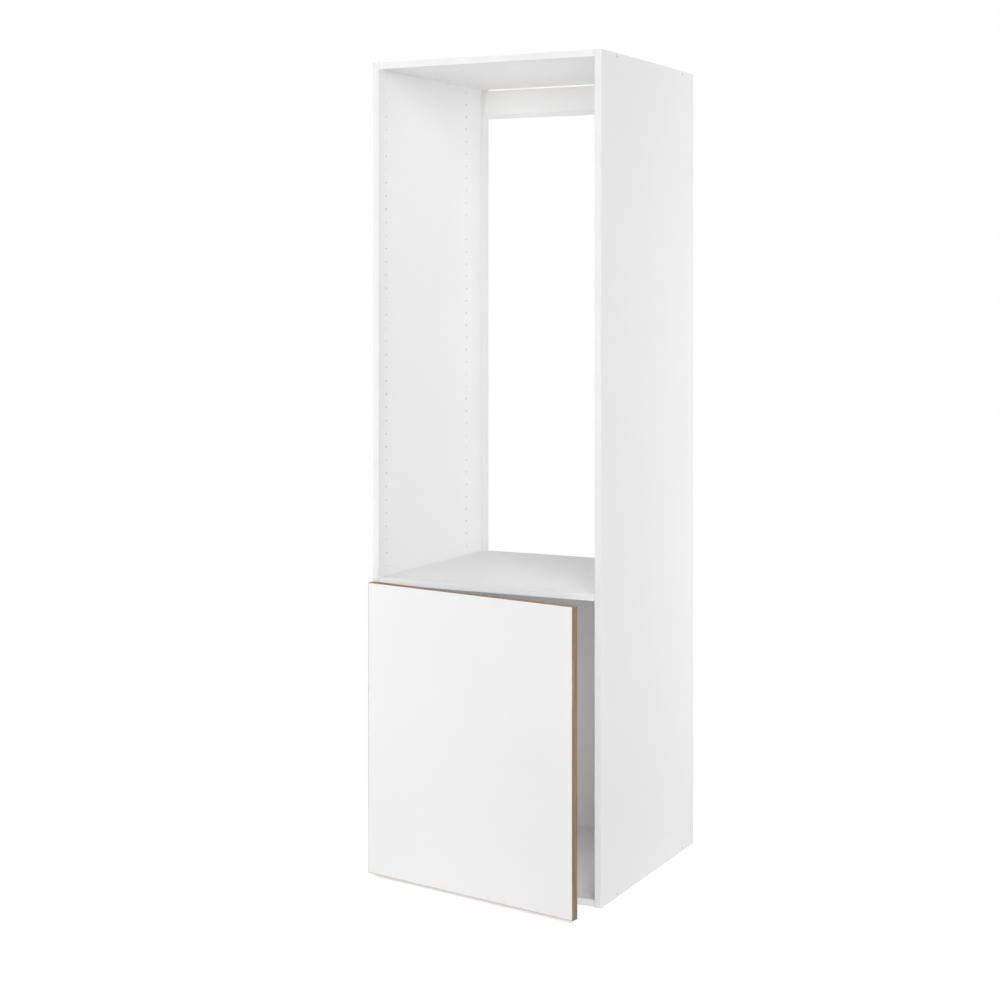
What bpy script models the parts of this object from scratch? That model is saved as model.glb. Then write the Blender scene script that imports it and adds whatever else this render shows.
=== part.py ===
"""Fridge housing unit: a tall white carcass with an open appliance niche, a ventilation gap behind its
top panel, and a lower compartment whose door hangs at the left on two concealed cup hinges.

Metres, +Z up. The origin is on the floor under the middle of the carcass, and the front faces -Y.
The door is modelled shut, then turned about its hinge axis to the angle at which it stands ajar."""

import math

import bmesh
import bpy
from mathutils import Matrix, Vector

# Carcass
CARCASS_WIDTH = 0.600
CARCASS_DEPTH = 0.580
CARCASS_HEIGHT = 1.952
BOARD = 0.016
EDGE_BAND = 0.001
BAND_CORNER = 0.0006
PANEL_SETBACK = 0.004
VENT_GAP = 0.012

# System holes: rows at multiples of the pitch above the floor, in two columns on each side. The front
# column is placed from the front, and the rear one from the rear edges of the level panels
HOLE_PITCH = 0.032
HOLE_DIAMETER = 0.005
HOLE_DEPTH = 0.010
HOLE_SIDES = 12
FRONT_COLUMN = 0.037
REAR_COLUMN_SETBACK = 0.099
SHELF_ROW = 22
STRIP_ROWS = (30, 31)
STRIP_HOLE_SETBACK = 0.0094

# Back panel of the lower compartment, and the groove that takes it
BACK_THICKNESS = 0.003
GROOVE_DEPTH = 0.006
GROOVE_LIP = 0.0086

# Top back rail and the dowels that hold it
RAIL_HEIGHT = 0.074
RAIL_DROP = 0.002
RAIL_BEVEL_HEIGHT = 0.0106
RAIL_BEVEL_DEPTH = 0.0085
DOWEL_DIAMETER = 0.008
DOWEL_LENGTH = 0.030
DOWEL_IN_SIDE = 0.011
DOWEL_SPACING = 0.032
DOWEL_SIDES = 12

# Screws through the sides into the top and bottom panels, placed from the front and from the rear edge
SCREW_FRONT_PLACE = 0.093
SCREW_REAR_SETBACK = 0.047
SCREW_LENGTH = 0.050
SCREW_HEAD_DIAMETER = 0.007
SCREW_HEAD_RIM = 0.0008
SCREW_HEAD_HEIGHT = 0.0026
SCREW_SHOULDER_DIAMETER = 0.005
SCREW_THREAD_DIAMETER = 0.0038
SCREW_SOCKET_WIDTH = 0.003
SCREW_SOCKET_DEPTH = 0.002
SCREW_SIDES = 12

# Cam connectors of the mid shelf
CAM_DIAMETER = 0.0148
CAM_HEIGHT = 0.0122
CAM_DISTANCE = 0.034
CAM_BOLT_DIAMETER = 0.0066
CAM_THREAD_DIAMETER = 0.0044
CAM_THREAD_LENGTH = 0.0098
CAM_NOTCH_ROOM = 0.0007
CAM_SIDES = 16

# Door
DOOR_THICKNESS = 0.020
DOOR_SIDE_REVEAL = 0.002
DOOR_BOTTOM_REVEAL = 0.0065
DOOR_TOP_REVEAL = 0.0015
DOOR_GAP = 0.003
DOOR_BAND = 0.001
DOOR_AJAR = math.radians(10.2)

# Soft bumpers on the door's back, where it meets the right side's front edge
BUMPER_DIAMETER = 0.009
BUMPER_END_DISTANCE = 0.020
BUMPER_CROWN_SHARE = 0.6

# Hinges: for each, the system hole row of the lower screw of its mounting plate
HINGE_ROWS = {"lower": 3, "upper": 18}

# Hinge cup: its bore in the door, its drawn body, its flange and the flange's screws
CUP_DIAMETER = 0.035
CUP_BORE_DEPTH = 0.0132
CUP_FIT = 0.0003
CUP_WALL = 0.0009
CUP_FLOOR = 0.001
CUP_SIDES = 32
FLANGE_WIDTH = 0.020
FLANGE_OFFSET = 0.004
FLANGE_END = 0.006
FLANGE_THICKNESS = 0.0012
FLANGE_CORNER = 0.004
CUP_SCREW_SPACING = 0.048
CUP_SCREW_OFFSET = 0.006
CUP_SCREW_DIAMETER = 0.0032
CUP_SCREW_LENGTH = 0.012
CUP_SCREW_HEAD_DIAMETER = 0.0068
CUP_SCREW_HEAD = 0.0012

# Hinge pivot: two lugs on the cup's floor hold a pin that passes through the arm's eye
LUG_WIDTH = 0.0032
LUG_LENGTH = 0.0045
EYE_DIAMETER = 0.0042
EYE_ROOM = 0.0003
PIN_DIAMETER = 0.0022

# Hinge arm: a channel over the mounting plate, and a neck that bends forward into the cup
ARM_METAL = 0.002
NECK_WIDTH = 0.008
NECK_STANDOFF = 0.0037
NECK_ROOM = 0.0008
NECK_BEND = 0.002
CHANNEL_WIDTH = 0.015
CHANNEL_FRONT = 0.012
CHANNEL_LENGTH = 0.054
CHANNEL_WALL = 0.0015
CHANNEL_TOP = 0.010
ADJUSTING_SCREW_SHARE = 0.19
FIXING_SCREW_SHARE = 0.74
ARM_SCREW_DIAMETER = 0.0040
ARM_SCREW_LENGTH = 0.007
ARM_SCREW_HEAD_DIAMETER = 0.0070
ARM_SCREW_HEAD = 0.0018

# Mounting plate, its rib inside the arm's channel, and its screws
PLATE_THICKNESS = 0.0024
PLATE_WIDTH = 0.012
PLATE_END = 0.008
RIB_ROOM = 0.0005
PLATE_SCREW_DIAMETER = 0.0050
PLATE_SCREW_DEPTH = 0.0115
PLATE_SCREW_HEAD_DIAMETER = 0.0074
PLATE_SCREW_HEAD = 0.0016

# Clearances: a glued seam, a seat, and a round piece in its bore; then the overrun of cuts, and the
# distances within which points that coincide are merged
GLUE_SEAM = 0.0001
SEAT = 0.0002
BORE_ROOM = 0.00015
OVERRUN = 0.004
MERGE = 0.000001

# Places of the carcass
LEFT = -CARCASS_WIDTH / 2
RIGHT = CARCASS_WIDTH / 2
FRONT = -CARCASS_DEPTH / 2
BACK = CARCASS_DEPTH / 2
INNER_LEFT = LEFT + BOARD
INNER_RIGHT = RIGHT - BOARD
PANEL_FRONT = FRONT + PANEL_SETBACK
PANEL_BACK = BACK - BOARD - VENT_GAP
GROOVE_BACK = PANEL_BACK - GROOVE_LIP
GROOVE_FRONT = GROOVE_BACK - BACK_THICKNESS - 2 * SEAT
TOP_MIDDLE = CARCASS_HEIGHT - BOARD / 2
SHELF_MIDDLE = SHELF_ROW * HOLE_PITCH
BOTTOM_MIDDLE = BOARD / 2
SHELF_UNDERSIDE = SHELF_MIDDLE - BOARD / 2
COLUMNS = {"front": FRONT + FRONT_COLUMN, "rear": PANEL_BACK - REAR_COLUMN_SETBACK}
SCREW_COLUMNS = {"front": FRONT + SCREW_FRONT_PLACE, "rear": PANEL_BACK - SCREW_REAR_SETBACK}
RAIL_TOP = CARCASS_HEIGHT - BOARD - RAIL_DROP
RAIL_BOTTOM = RAIL_TOP - RAIL_HEIGHT
RAIL_MIDDLE = RAIL_TOP - RAIL_HEIGHT / 2
DOWEL_LEVELS = {"lower": RAIL_MIDDLE - DOWEL_SPACING / 2, "upper": RAIL_MIDDLE + DOWEL_SPACING / 2}

# Places of the shut door
DOOR_LEFT = LEFT + DOOR_SIDE_REVEAL
DOOR_RIGHT = RIGHT - DOOR_SIDE_REVEAL
DOOR_BACK = FRONT - DOOR_GAP
DOOR_FRONT = DOOR_BACK - DOOR_THICKNESS
DOOR_BOTTOM = DOOR_BOTTOM_REVEAL
DOOR_TOP = SHELF_MIDDLE - DOOR_TOP_REVEAL

# Places of the hinges. The arm's neck passes the side's inner face at its standoff, and the axis lies
# where the cup's rim, turning about it, stays clear of the neck
CUP_OUTER = CUP_DIAMETER / 2 - CUP_FIT
CUP_INNER = CUP_OUTER - CUP_WALL
CUP_BACK = DOOR_BACK - CUP_BORE_DEPTH + CUP_FIT
CUP_INNER_FLOOR = CUP_BACK + CUP_FLOOR
CUP_RIM = DOOR_BACK + SEAT + FLANGE_THICKNESS / 2
NECK_FACE = INNER_LEFT + NECK_STANDOFF
AXIS_DEPTH = CUP_INNER_FLOOR + EYE_DIAMETER / 2 + EYE_ROOM
HINGE_AXIS = Vector((NECK_FACE - NECK_ROOM - (CUP_RIM - AXIS_DEPTH), AXIS_DEPTH))
EYE_REACH = EYE_DIAMETER / 2 + EYE_ROOM
CUP_MIDDLE = HINGE_AXIS.x - EYE_REACH + math.sqrt(CUP_INNER**2 - (NECK_WIDTH / 2) ** 2)
LUG_INNER = NECK_WIDTH / 2 + 2 * EYE_ROOM
LUG_OUTER = LUG_INNER + LUG_WIDTH
PIN_LENGTH = 2 * (LUG_OUTER - SEAT)
CHANNEL_START = FRONT + CHANNEL_FRONT
CHANNEL_FACE = INNER_LEFT + CHANNEL_TOP
ARM_SCREW_PLACES = {
    "adjusting": CHANNEL_START + CHANNEL_LENGTH * ADJUSTING_SCREW_SHARE,
    "fixing": CHANNEL_START + CHANNEL_LENGTH * FIXING_SCREW_SHARE,
}
RIB_WIDTH = CHANNEL_WIDTH - 2 * CHANNEL_WALL - 2 * RIB_ROOM
RIB_LENGTH = CHANNEL_LENGTH - 2 * ARM_METAL
RIB_TOP = CHANNEL_FACE - ARM_METAL - SEAT
PLATE_BACK = INNER_LEFT + SEAT
PLATE_FACE = PLATE_BACK + PLATE_THICKNESS

X_AXIS = Vector((1, 0, 0))
Y_AXIS = Vector((0, 1, 0))
Z_AXIS = Vector((0, 0, 1))

# For each side of the carcass: its sign along X, and its outer and inner faces
SIDES = {"left": (-1, LEFT, INNER_LEFT), "right": (1, RIGHT, INNER_RIGHT)}


def start_empty():
    """Clears the scene and makes the two collections."""
    for obj in list(bpy.data.objects):
        bpy.data.objects.remove(obj, do_unlink=True)
    for name in ("fridge_housing_unit", "cutters"):
        bpy.context.scene.collection.children.link(bpy.data.collections.new(name))
    bpy.data.collections["cutters"].hide_render = True


def material(name, colour, roughness, metallic=0.0):
    """The named Principled material, made once."""
    made = bpy.data.materials.get(name)
    if made is None:
        made = bpy.data.materials.new(name)
        made.use_nodes = True
        shader = made.node_tree.nodes["Principled BSDF"]
        shader.inputs["Base Color"].default_value = (*colour, 1.0)
        shader.inputs["Roughness"].default_value = roughness
        shader.inputs["Metallic"].default_value = metallic
        made.diffuse_color = (*colour, 1.0)
    return made


def melamine():
    return material("white_melamine", (0.86, 0.86, 0.86), 0.45)


def white_edge():
    return material("white_edge_band", (0.88, 0.88, 0.88), 0.40)


def oak_edge():
    return material("oak_edge_band", (0.28, 0.19, 0.12), 0.55)


def hardboard():
    return material("white_hardboard", (0.80, 0.80, 0.80), 0.55)


def beech():
    return material("beech", (0.62, 0.42, 0.24), 0.65)


def zinc():
    return material("zinc_plated_steel", (0.62, 0.63, 0.64), 0.35, 1.0)


def nickel():
    return material("nickel_plated_steel", (0.70, 0.69, 0.66), 0.25, 1.0)


def soft_plastic():
    return material("clear_bumper", (0.80, 0.80, 0.78), 0.30)


def attach(obj, carrier):
    """Makes an object that was placed in the world ride on a carrier, without moving it."""
    if carrier is not None:
        obj.parent = carrier
        obj.location = obj.location - carrier.location
    return obj


def add(name, mesh, look):
    """A part when it has a look, else a helper that parts are cut or joined with."""
    obj = bpy.data.objects.new(name, mesh)
    if look is None:
        bpy.data.collections["cutters"].objects.link(obj)
        obj.hide_render = True
        obj.display_type = "WIRE"
    else:
        bpy.data.collections["fridge_housing_unit"].objects.link(obj)
        mesh.materials.append(look)
    return obj


def mesh_of(bm, name):
    mesh = bpy.data.meshes.new(name)
    bm.to_mesh(mesh)
    bm.free()
    return mesh


def box(name, corner, opposite, look=None):
    """A box between two opposite corners, with its origin at its middle."""
    low = Vector(map(min, corner, opposite))
    high = Vector(map(max, corner, opposite))
    bm = bmesh.new()
    bmesh.ops.create_cube(bm, size=1, matrix=Matrix.Diagonal((*(high - low), 1)))
    obj = add(name, mesh_of(bm, name), look)
    obj.location = (low + high) / 2
    return obj


def facing(direction):
    """The turn that brings +Z onto the direction."""
    return direction.to_track_quat("Z", "Y").to_matrix().to_4x4()


def rods(name, starts, along, radius, length, sides, look=None):
    """One mesh of equal cylinders, each from its start, all running the same way."""
    bm = bmesh.new()
    for start in starts:
        bmesh.ops.create_cone(
            bm,
            cap_ends=True,
            segments=sides,
            radius1=radius,
            radius2=radius,
            depth=length,
            matrix=Matrix.Translation(Vector(start) + along * length / 2) @ facing(along),
        )
    return add(name, mesh_of(bm, name), look)


def turned(name, profile, place, along, sides, look=None):
    """A turned shape. The profile holds (radius, distance along the axis) from first to last."""
    mesh = bpy.data.meshes.new(name)
    points = [(radius, 0, distance) for radius, distance in reversed(profile)]
    mesh.from_pydata(points, [(i, i + 1) for i in range(len(points) - 1)], [])
    obj = add(name, mesh, look)
    spin = obj.modifiers.new("turn", "SCREW")
    spin.steps = spin.render_steps = sides
    spin.use_merge_vertices = True
    spin.merge_threshold = MERGE
    obj.matrix_world = Matrix.Translation(place) @ facing(along)
    return obj


def plate(name, outline, middle, across, up, thickness, look=None):
    """A flat outline of points (across, up) from the middle, with half its thickness on each side."""
    curve = bpy.data.curves.new(name, "CURVE")
    curve.dimensions = "2D"
    curve.fill_mode = "BOTH"
    curve.extrude = thickness / 2
    spline = curve.splines.new("POLY")
    spline.points.add(len(outline) - 1)
    for point, (a, b) in zip(spline.points, outline):
        point.co = (a, b, 0, 1)
    spline.use_cyclic_u = True
    guide = bpy.data.objects.new(name + "_outline", curve)
    bpy.context.scene.collection.objects.link(guide)
    graph = bpy.context.evaluated_depsgraph_get()
    mesh = bpy.data.meshes.new_from_object(guide.evaluated_get(graph))
    bpy.data.objects.remove(guide, do_unlink=True)
    bm = bmesh.new()
    bm.from_mesh(mesh)
    bmesh.ops.remove_doubles(bm, verts=bm.verts, dist=MERGE)
    bmesh.ops.recalc_face_normals(bm, faces=bm.faces)
    bm.to_mesh(mesh)
    bm.free()
    obj = add(name, mesh, look)
    turn = Matrix((across, up, across.cross(up))).transposed().to_4x4()
    obj.matrix_world = Matrix.Translation(middle) @ turn
    return obj


def boolean(target, other, operation):
    modifier = target.modifiers.new(other.name, "BOOLEAN")
    modifier.operation = operation
    modifier.object = other


def cut(target, cutter):
    boolean(target, cutter, "DIFFERENCE")


def join(target, other):
    boolean(target, other, "UNION")


def drill(target, name, mouths, into, diameter, depth, sides):
    """Bores round holes of one depth into the target. Each cutter starts a little outside the face."""
    starts = [Vector(mouth) - into * OVERRUN for mouth in mouths]
    cut(target, rods(name, starts, into, diameter / 2, depth + OVERRUN, sides))


def ride(obj, pivot):
    """Puts a door piece, and everything that cuts it or is joined to it, on the door's axis."""
    for modifier in obj.modifiers:
        if modifier.type == "BOOLEAN":
            ride(modifier.object, pivot)
    return attach(obj, pivot)


def smooth(obj):
    """Shades a round piece smooth, except at its sharp edges."""
    obj.data.shade_smooth()
    obj.data.set_sharp_from_angle(angle=math.radians(30))
    return obj


def arc(centre, radius, start, end, steps):
    """Points along a round stretch, from the start angle to the end angle."""
    angles = (start + (end - start) * step / steps for step in range(steps + 1))
    return [Vector(centre) + radius * Vector((math.cos(a), math.sin(a))) for a in angles]


def rounded_rectangle(width, height, corner, steps):
    """The outline of a rectangle with round corners, about its middle."""
    quarter = math.pi / 2
    outline = []
    for number, (a, b) in enumerate(((1, 1), (-1, 1), (-1, -1), (1, -1))):
        centre = (a * (width / 2 - corner), b * (height / 2 - corner))
        outline += arc(centre, corner, number * quarter, (number + 1) * quarter, steps)
    return outline


def left_of(direction):
    return Vector((-direction.y, direction.x))


def ribbon(path, thickness, bend, steps):
    """The outline of a strip of even thickness along a path whose corners have the bend radius."""
    stations = [(path[0], (path[1] - path[0]).normalized())]
    for before, corner, after in zip(path, path[1:], path[2:]):
        start = (corner - before).normalized()
        end = (after - corner).normalized()
        turn = math.atan2(start.cross(end), start.dot(end))
        side = math.copysign(1, turn)
        begin = corner - start * bend * math.tan(abs(turn) / 2)
        centre = begin + left_of(start) * side * bend
        for step in range(steps + 1):
            direction = Matrix.Rotation(turn * step / steps, 2) @ start
            stations.append((centre - left_of(direction) * side * bend, direction))
    stations.append((path[-1], (path[-1] - path[-2]).normalized()))
    one_side = [point + left_of(direction) * thickness / 2 for point, direction in stations]
    other_side = [point - left_of(direction) * thickness / 2 for point, direction in stations]
    return one_side + other_side[::-1]


def hinge_level(row):
    """The height of a hinge, half way between the two screws of its mounting plate."""
    return row * HOLE_PITCH + HOLE_PITCH / 2


def system_rows():
    """The rows that lie clear of the bottom panel, of the mid shelf and of the top panel."""
    reach = (BOARD + HOLE_DIAMETER) / 2
    held = (BOTTOM_MIDDLE, SHELF_MIDDLE, TOP_MIDDLE)
    rows = range(1, math.floor(CARCASS_HEIGHT / HOLE_PITCH) + 1)
    return [row for row in rows if all(abs(row * HOLE_PITCH - middle) > reach for middle in held)]


def system_holes(panel, side, inner, into):
    """Both columns of blind holes. At the left the rows of the mounting plates are bored for their screws."""
    taken = {(COLUMNS["front"], row + step) for row in HINGE_ROWS.values() for step in (0, 1)}
    if side == "right":
        taken = set()
    every = {(column, row) for column in COLUMNS.values() for row in system_rows()}
    mouths = [(inner, column, row * HOLE_PITCH) for column, row in sorted(every - taken)]
    drill(panel, f"side_{side}_system_holes", mouths, into, HOLE_DIAMETER, HOLE_DEPTH, HOLE_SIDES)
    if taken:
        mouths = [(inner, column, row * HOLE_PITCH) for column, row in sorted(taken)]
        bore = PLATE_SCREW_DIAMETER + 2 * BORE_ROOM
        drill(panel, f"side_{side}_plate_bores", mouths, into, bore, PLATE_SCREW_DEPTH, SCREW_SIDES)
    mouths = [(inner, BACK - STRIP_HOLE_SETBACK, row * HOLE_PITCH) for row in STRIP_ROWS]
    drill(panel, f"side_{side}_strip_holes", mouths, into, HOLE_DIAMETER, HOLE_DEPTH, HOLE_SIDES)


def side_panel(side):
    """One side, behind its front edge band, with its groove and its bores."""
    sign, outer, inner = SIDES[side]
    name = "side_" + side
    into = X_AXIS * sign
    corner = (outer, FRONT + EDGE_BAND + GLUE_SEAM, 0)
    panel = box(name, corner, (inner, BACK, CARCASS_HEIGHT), melamine())

    corner = (inner - sign * OVERRUN, GROOVE_FRONT, -OVERRUN)
    opposite = (inner + sign * GROOVE_DEPTH, GROOVE_BACK, CARCASS_HEIGHT + OVERRUN)
    cut(panel, box(name + "_groove", corner, opposite))
    system_holes(panel, side, inner, into)

    mouths = [(inner, column, SHELF_MIDDLE) for column in COLUMNS.values()]
    bore = CAM_THREAD_DIAMETER + 2 * BORE_ROOM
    drill(panel, name + "_cam_bolt_bores", mouths, into, bore, CAM_THREAD_LENGTH + SEAT, SCREW_SIDES)

    mouths = [(inner, BACK - BOARD / 2, level) for level in DOWEL_LEVELS.values()]
    bore = DOWEL_DIAMETER + 2 * BORE_ROOM
    drill(panel, name + "_dowel_bores", mouths, into, bore, DOWEL_IN_SIDE + SEAT, DOWEL_SIDES)

    levels = (BOTTOM_MIDDLE, TOP_MIDDLE)
    mouths = [(outer, column, level) for column in SCREW_COLUMNS.values() for level in levels]
    bore = SCREW_SHOULDER_DIAMETER + 2 * BORE_ROOM
    drill(panel, name + "_screw_bores", mouths, -into, bore, BOARD + OVERRUN, SCREW_SIDES)
    sink = SCREW_HEAD_DIAMETER + 2 * BORE_ROOM
    drill(panel, name + "_screw_sinks", mouths, -into, sink, SCREW_HEAD_HEIGHT + SEAT, SCREW_SIDES)


def level_panel(name, middle):
    """A panel that lies between the sides, behind its own edge band."""
    corner = (INNER_LEFT + GLUE_SEAM, PANEL_FRONT + EDGE_BAND + GLUE_SEAM, middle - BOARD / 2)
    opposite = (INNER_RIGHT - GLUE_SEAM, PANEL_BACK, middle + BOARD / 2)
    return box(name, corner, opposite, melamine())


def screwed_panel(name, middle):
    """The top or the bottom panel, with the bores for its screws in both ends."""
    panel = level_panel(name, middle)
    depth = SCREW_LENGTH - BOARD + SEAT
    bore = SCREW_THREAD_DIAMETER + 2 * BORE_ROOM
    for side, (sign, _, inner) in SIDES.items():
        mouths = [(inner, column, middle) for column in SCREW_COLUMNS.values()]
        drill(panel, f"{name}_{side}_bores", mouths, -X_AXIS * sign, bore, depth, SCREW_SIDES)
    return panel


def back_groove(panel, face, up):
    """The groove across a level panel that takes one edge of the back panel."""
    corner = (INNER_LEFT - OVERRUN, GROOVE_FRONT, face - up * OVERRUN)
    opposite = (INNER_RIGHT + OVERRUN, GROOVE_BACK, face + up * GROOVE_DEPTH)
    cut(panel, box(panel.name + "_groove", corner, opposite))


def cam_middle(side, where):
    sign, _, inner = SIDES[side]
    return Vector((inner - sign * CAM_DISTANCE, COLUMNS[where], SHELF_UNDERSIDE))


def mid_shelf():
    """The fixed shelf: cams sit in bores in its underside, and their bolts run in from its ends."""
    shelf = level_panel("mid_shelf", SHELF_MIDDLE)
    back_groove(shelf, SHELF_UNDERSIDE, 1)
    mouths = [cam_middle(side, where) for side in SIDES for where in COLUMNS]
    bore = CAM_DIAMETER + 2 * BORE_ROOM
    drill(shelf, "mid_shelf_cam_bores", mouths, Z_AXIS, bore, CAM_HEIGHT + 2 * SEAT, CAM_SIDES)
    bore = CAM_BOLT_DIAMETER + 2 * BORE_ROOM
    for side, (sign, _, inner) in SIDES.items():
        mouths = [(inner, column, SHELF_MIDDLE) for column in COLUMNS.values()]
        name = f"mid_shelf_{side}_bolt_bores"
        drill(shelf, name, mouths, -X_AXIS * sign, bore, CAM_DISTANCE, SCREW_SIDES)


def band(name, seam, across, out, width, thickness, length, look):
    """A strip on the edge of a board: flat at its seam, and with its two outer corners rounded."""
    half = width / 2
    quarter = math.pi / 2
    side = half - BAND_CORNER
    top = thickness - BAND_CORNER
    outline = [(-half, 0), (half, 0)]
    outline += arc((side, top), BAND_CORNER, 0, quarter, 3)
    outline += arc((-side, top), BAND_CORNER, quarter, 2 * quarter, 3)
    return smooth(plate(name, outline, seam, across, out, length, look))


def edge_bands():
    """The white bands on the front edges of both sides and of the three level panels."""
    size = (BOARD, EDGE_BAND)
    for side, (_, outer, inner) in SIDES.items():
        seam = Vector(((outer + inner) / 2, FRONT + EDGE_BAND, CARCASS_HEIGHT / 2))
        name = "edge_band_side_" + side
        band(name, seam, X_AXIS, -Y_AXIS, *size, CARCASS_HEIGHT, white_edge())
    length = INNER_RIGHT - INNER_LEFT - 2 * GLUE_SEAM
    levels = {"top_panel": TOP_MIDDLE, "mid_shelf": SHELF_MIDDLE, "bottom_panel": BOTTOM_MIDDLE}
    for panel, middle in levels.items():
        seam = Vector((0, PANEL_FRONT + EDGE_BAND, middle))
        band("edge_band_" + panel, seam, Z_AXIS, -Y_AXIS, *size, length, white_edge())


def back_panel():
    """The thin back of the lower compartment, with its four edges in the grooves."""
    into = GROOVE_DEPTH - SEAT
    corner = (INNER_LEFT - into, GROOVE_FRONT + SEAT, BOARD - into)
    opposite = (INNER_RIGHT + into, GROOVE_BACK - SEAT, SHELF_UNDERSIDE + into)
    box("back_panel", corner, opposite, hardboard())


def top_back_rail():
    """The board on edge at the back of the niche's top. Its lower front edge is bevelled."""
    front = BACK - BOARD
    outline = [
        (BACK, RAIL_BOTTOM),
        (BACK, RAIL_TOP),
        (front, RAIL_TOP),
        (front, RAIL_BOTTOM + RAIL_BEVEL_HEIGHT),
        (front + RAIL_BEVEL_DEPTH, RAIL_BOTTOM),
    ]
    length = INNER_RIGHT - INNER_LEFT - 2 * GLUE_SEAM
    rail = plate("top_back_rail", outline, Vector(), Y_AXIS, Z_AXIS, length, melamine())
    bore = DOWEL_DIAMETER + 2 * BORE_ROOM
    depth = DOWEL_LENGTH - DOWEL_IN_SIDE + SEAT
    for side, (sign, _, inner) in SIDES.items():
        mouths = [(inner, BACK - BOARD / 2, level) for level in DOWEL_LEVELS.values()]
        name = f"top_back_rail_{side}_bores"
        drill(rail, name, mouths, -X_AXIS * sign, bore, depth, DOWEL_SIDES)


def through_screws():
    """The screws whose heads show on the outer faces of the sides."""
    profile = [
        (0, 0),
        (SCREW_HEAD_DIAMETER / 2, 0),
        (SCREW_HEAD_DIAMETER / 2, SCREW_HEAD_RIM),
        (SCREW_SHOULDER_DIAMETER / 2, SCREW_HEAD_HEIGHT),
        (SCREW_SHOULDER_DIAMETER / 2, BOARD - SEAT),
        (SCREW_THREAD_DIAMETER / 2, BOARD - SEAT),
        (SCREW_THREAD_DIAMETER / 2, SCREW_LENGTH - SEAT),
        (0, SCREW_LENGTH - SEAT),
    ]
    for side, (sign, outer, _) in SIDES.items():
        for panel, level in (("bottom", BOTTOM_MIDDLE), ("top", TOP_MIDDLE)):
            for where, column in SCREW_COLUMNS.items():
                start = Vector((outer - sign * SEAT, column, level))
                into = -X_AXIS * sign
                name = f"screw_{panel}_{side}_{where}"
                screw = turned(name, profile, start, into, SCREW_SIDES, zinc())
                socket = (name + "_socket", [start], into, SCREW_SOCKET_WIDTH, SCREW_SOCKET_DEPTH, 6)
                drill(screw, *socket)
                smooth(screw)


def cam(side, where):
    """A cam with a notch that grips the end of its bolt."""
    sign = SIDES[side][0]
    middle = cam_middle(side, where) + Z_AXIS * SEAT
    name = f"cam_{side}_{where}"
    radius = CAM_DIAMETER / 2
    body = rods(name, [middle], Z_AXIS, radius, CAM_HEIGHT, CAM_SIDES, zinc())
    half = CAM_BOLT_DIAMETER / 2 + CAM_NOTCH_ROOM
    corner = (middle.x - sign * half, middle.y - half, SHELF_MIDDLE - half)
    opposite = (middle.x + sign * (radius + OVERRUN), middle.y + half, SHELF_MIDDLE + BOARD / 2)
    cut(body, box(name + "_notch", corner, opposite))
    smooth(body)


def cam_bolt(side, where):
    """A bolt with its thin threaded end in the side and its thick end in the cam's notch."""
    sign, _, inner = SIDES[side]
    length = CAM_DISTANCE + CAM_THREAD_LENGTH - SEAT
    shoulder = CAM_THREAD_LENGTH + SEAT
    profile = [
        (0, 0),
        (CAM_THREAD_DIAMETER / 2, 0),
        (CAM_THREAD_DIAMETER / 2, shoulder),
        (CAM_BOLT_DIAMETER / 2, shoulder),
        (CAM_BOLT_DIAMETER / 2, length),
        (0, length),
    ]
    start = Vector((inner + sign * CAM_THREAD_LENGTH, COLUMNS[where], SHELF_MIDDLE))
    name = f"cam_bolt_{side}_{where}"
    smooth(turned(name, profile, start, -X_AXIS * sign, SCREW_SIDES, zinc()))


def rail_dowels():
    for side, (sign, _, inner) in SIDES.items():
        for where, level in DOWEL_LEVELS.items():
            start = (inner + sign * DOWEL_IN_SIDE, BACK - BOARD / 2, level)
            name = f"dowel_rail_{side}_{where}"
            along = -X_AXIS * sign
            radius = DOWEL_DIAMETER / 2
            smooth(rods(name, [start], along, radius, DOWEL_LENGTH, DOWEL_SIDES, beech()))


def cup_screw_mouths(level):
    """Where the two screws of a cup's flange enter the door's back."""
    column = CUP_MIDDLE + CUP_SCREW_OFFSET
    return [Vector((column, DOOR_BACK, level + step * CUP_SCREW_SPACING / 2)) for step in (-1, 1)]


def door_panel(pivot):
    """The board of the door inside its four bands, with the bores for the cups and their screws."""
    inset = DOOR_BAND + GLUE_SEAM
    corner = (DOOR_LEFT + inset, DOOR_FRONT, DOOR_BOTTOM + inset)
    panel = box("door_panel", corner, (DOOR_RIGHT - inset, DOOR_BACK, DOOR_TOP - inset), melamine())
    levels = [hinge_level(row) for row in HINGE_ROWS.values()]
    mouths = [(CUP_MIDDLE, DOOR_BACK, level) for level in levels]
    drill(panel, "door_cup_bores", mouths, -Y_AXIS, CUP_DIAMETER, CUP_BORE_DEPTH, CUP_SIDES)
    mouths = [mouth for level in levels for mouth in cup_screw_mouths(level)]
    bore = CUP_SCREW_DIAMETER + 2 * BORE_ROOM
    drill(panel, "door_screw_bores", mouths, -Y_AXIS, bore, CUP_SCREW_LENGTH, SCREW_SIDES)
    ride(panel, pivot)


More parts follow.
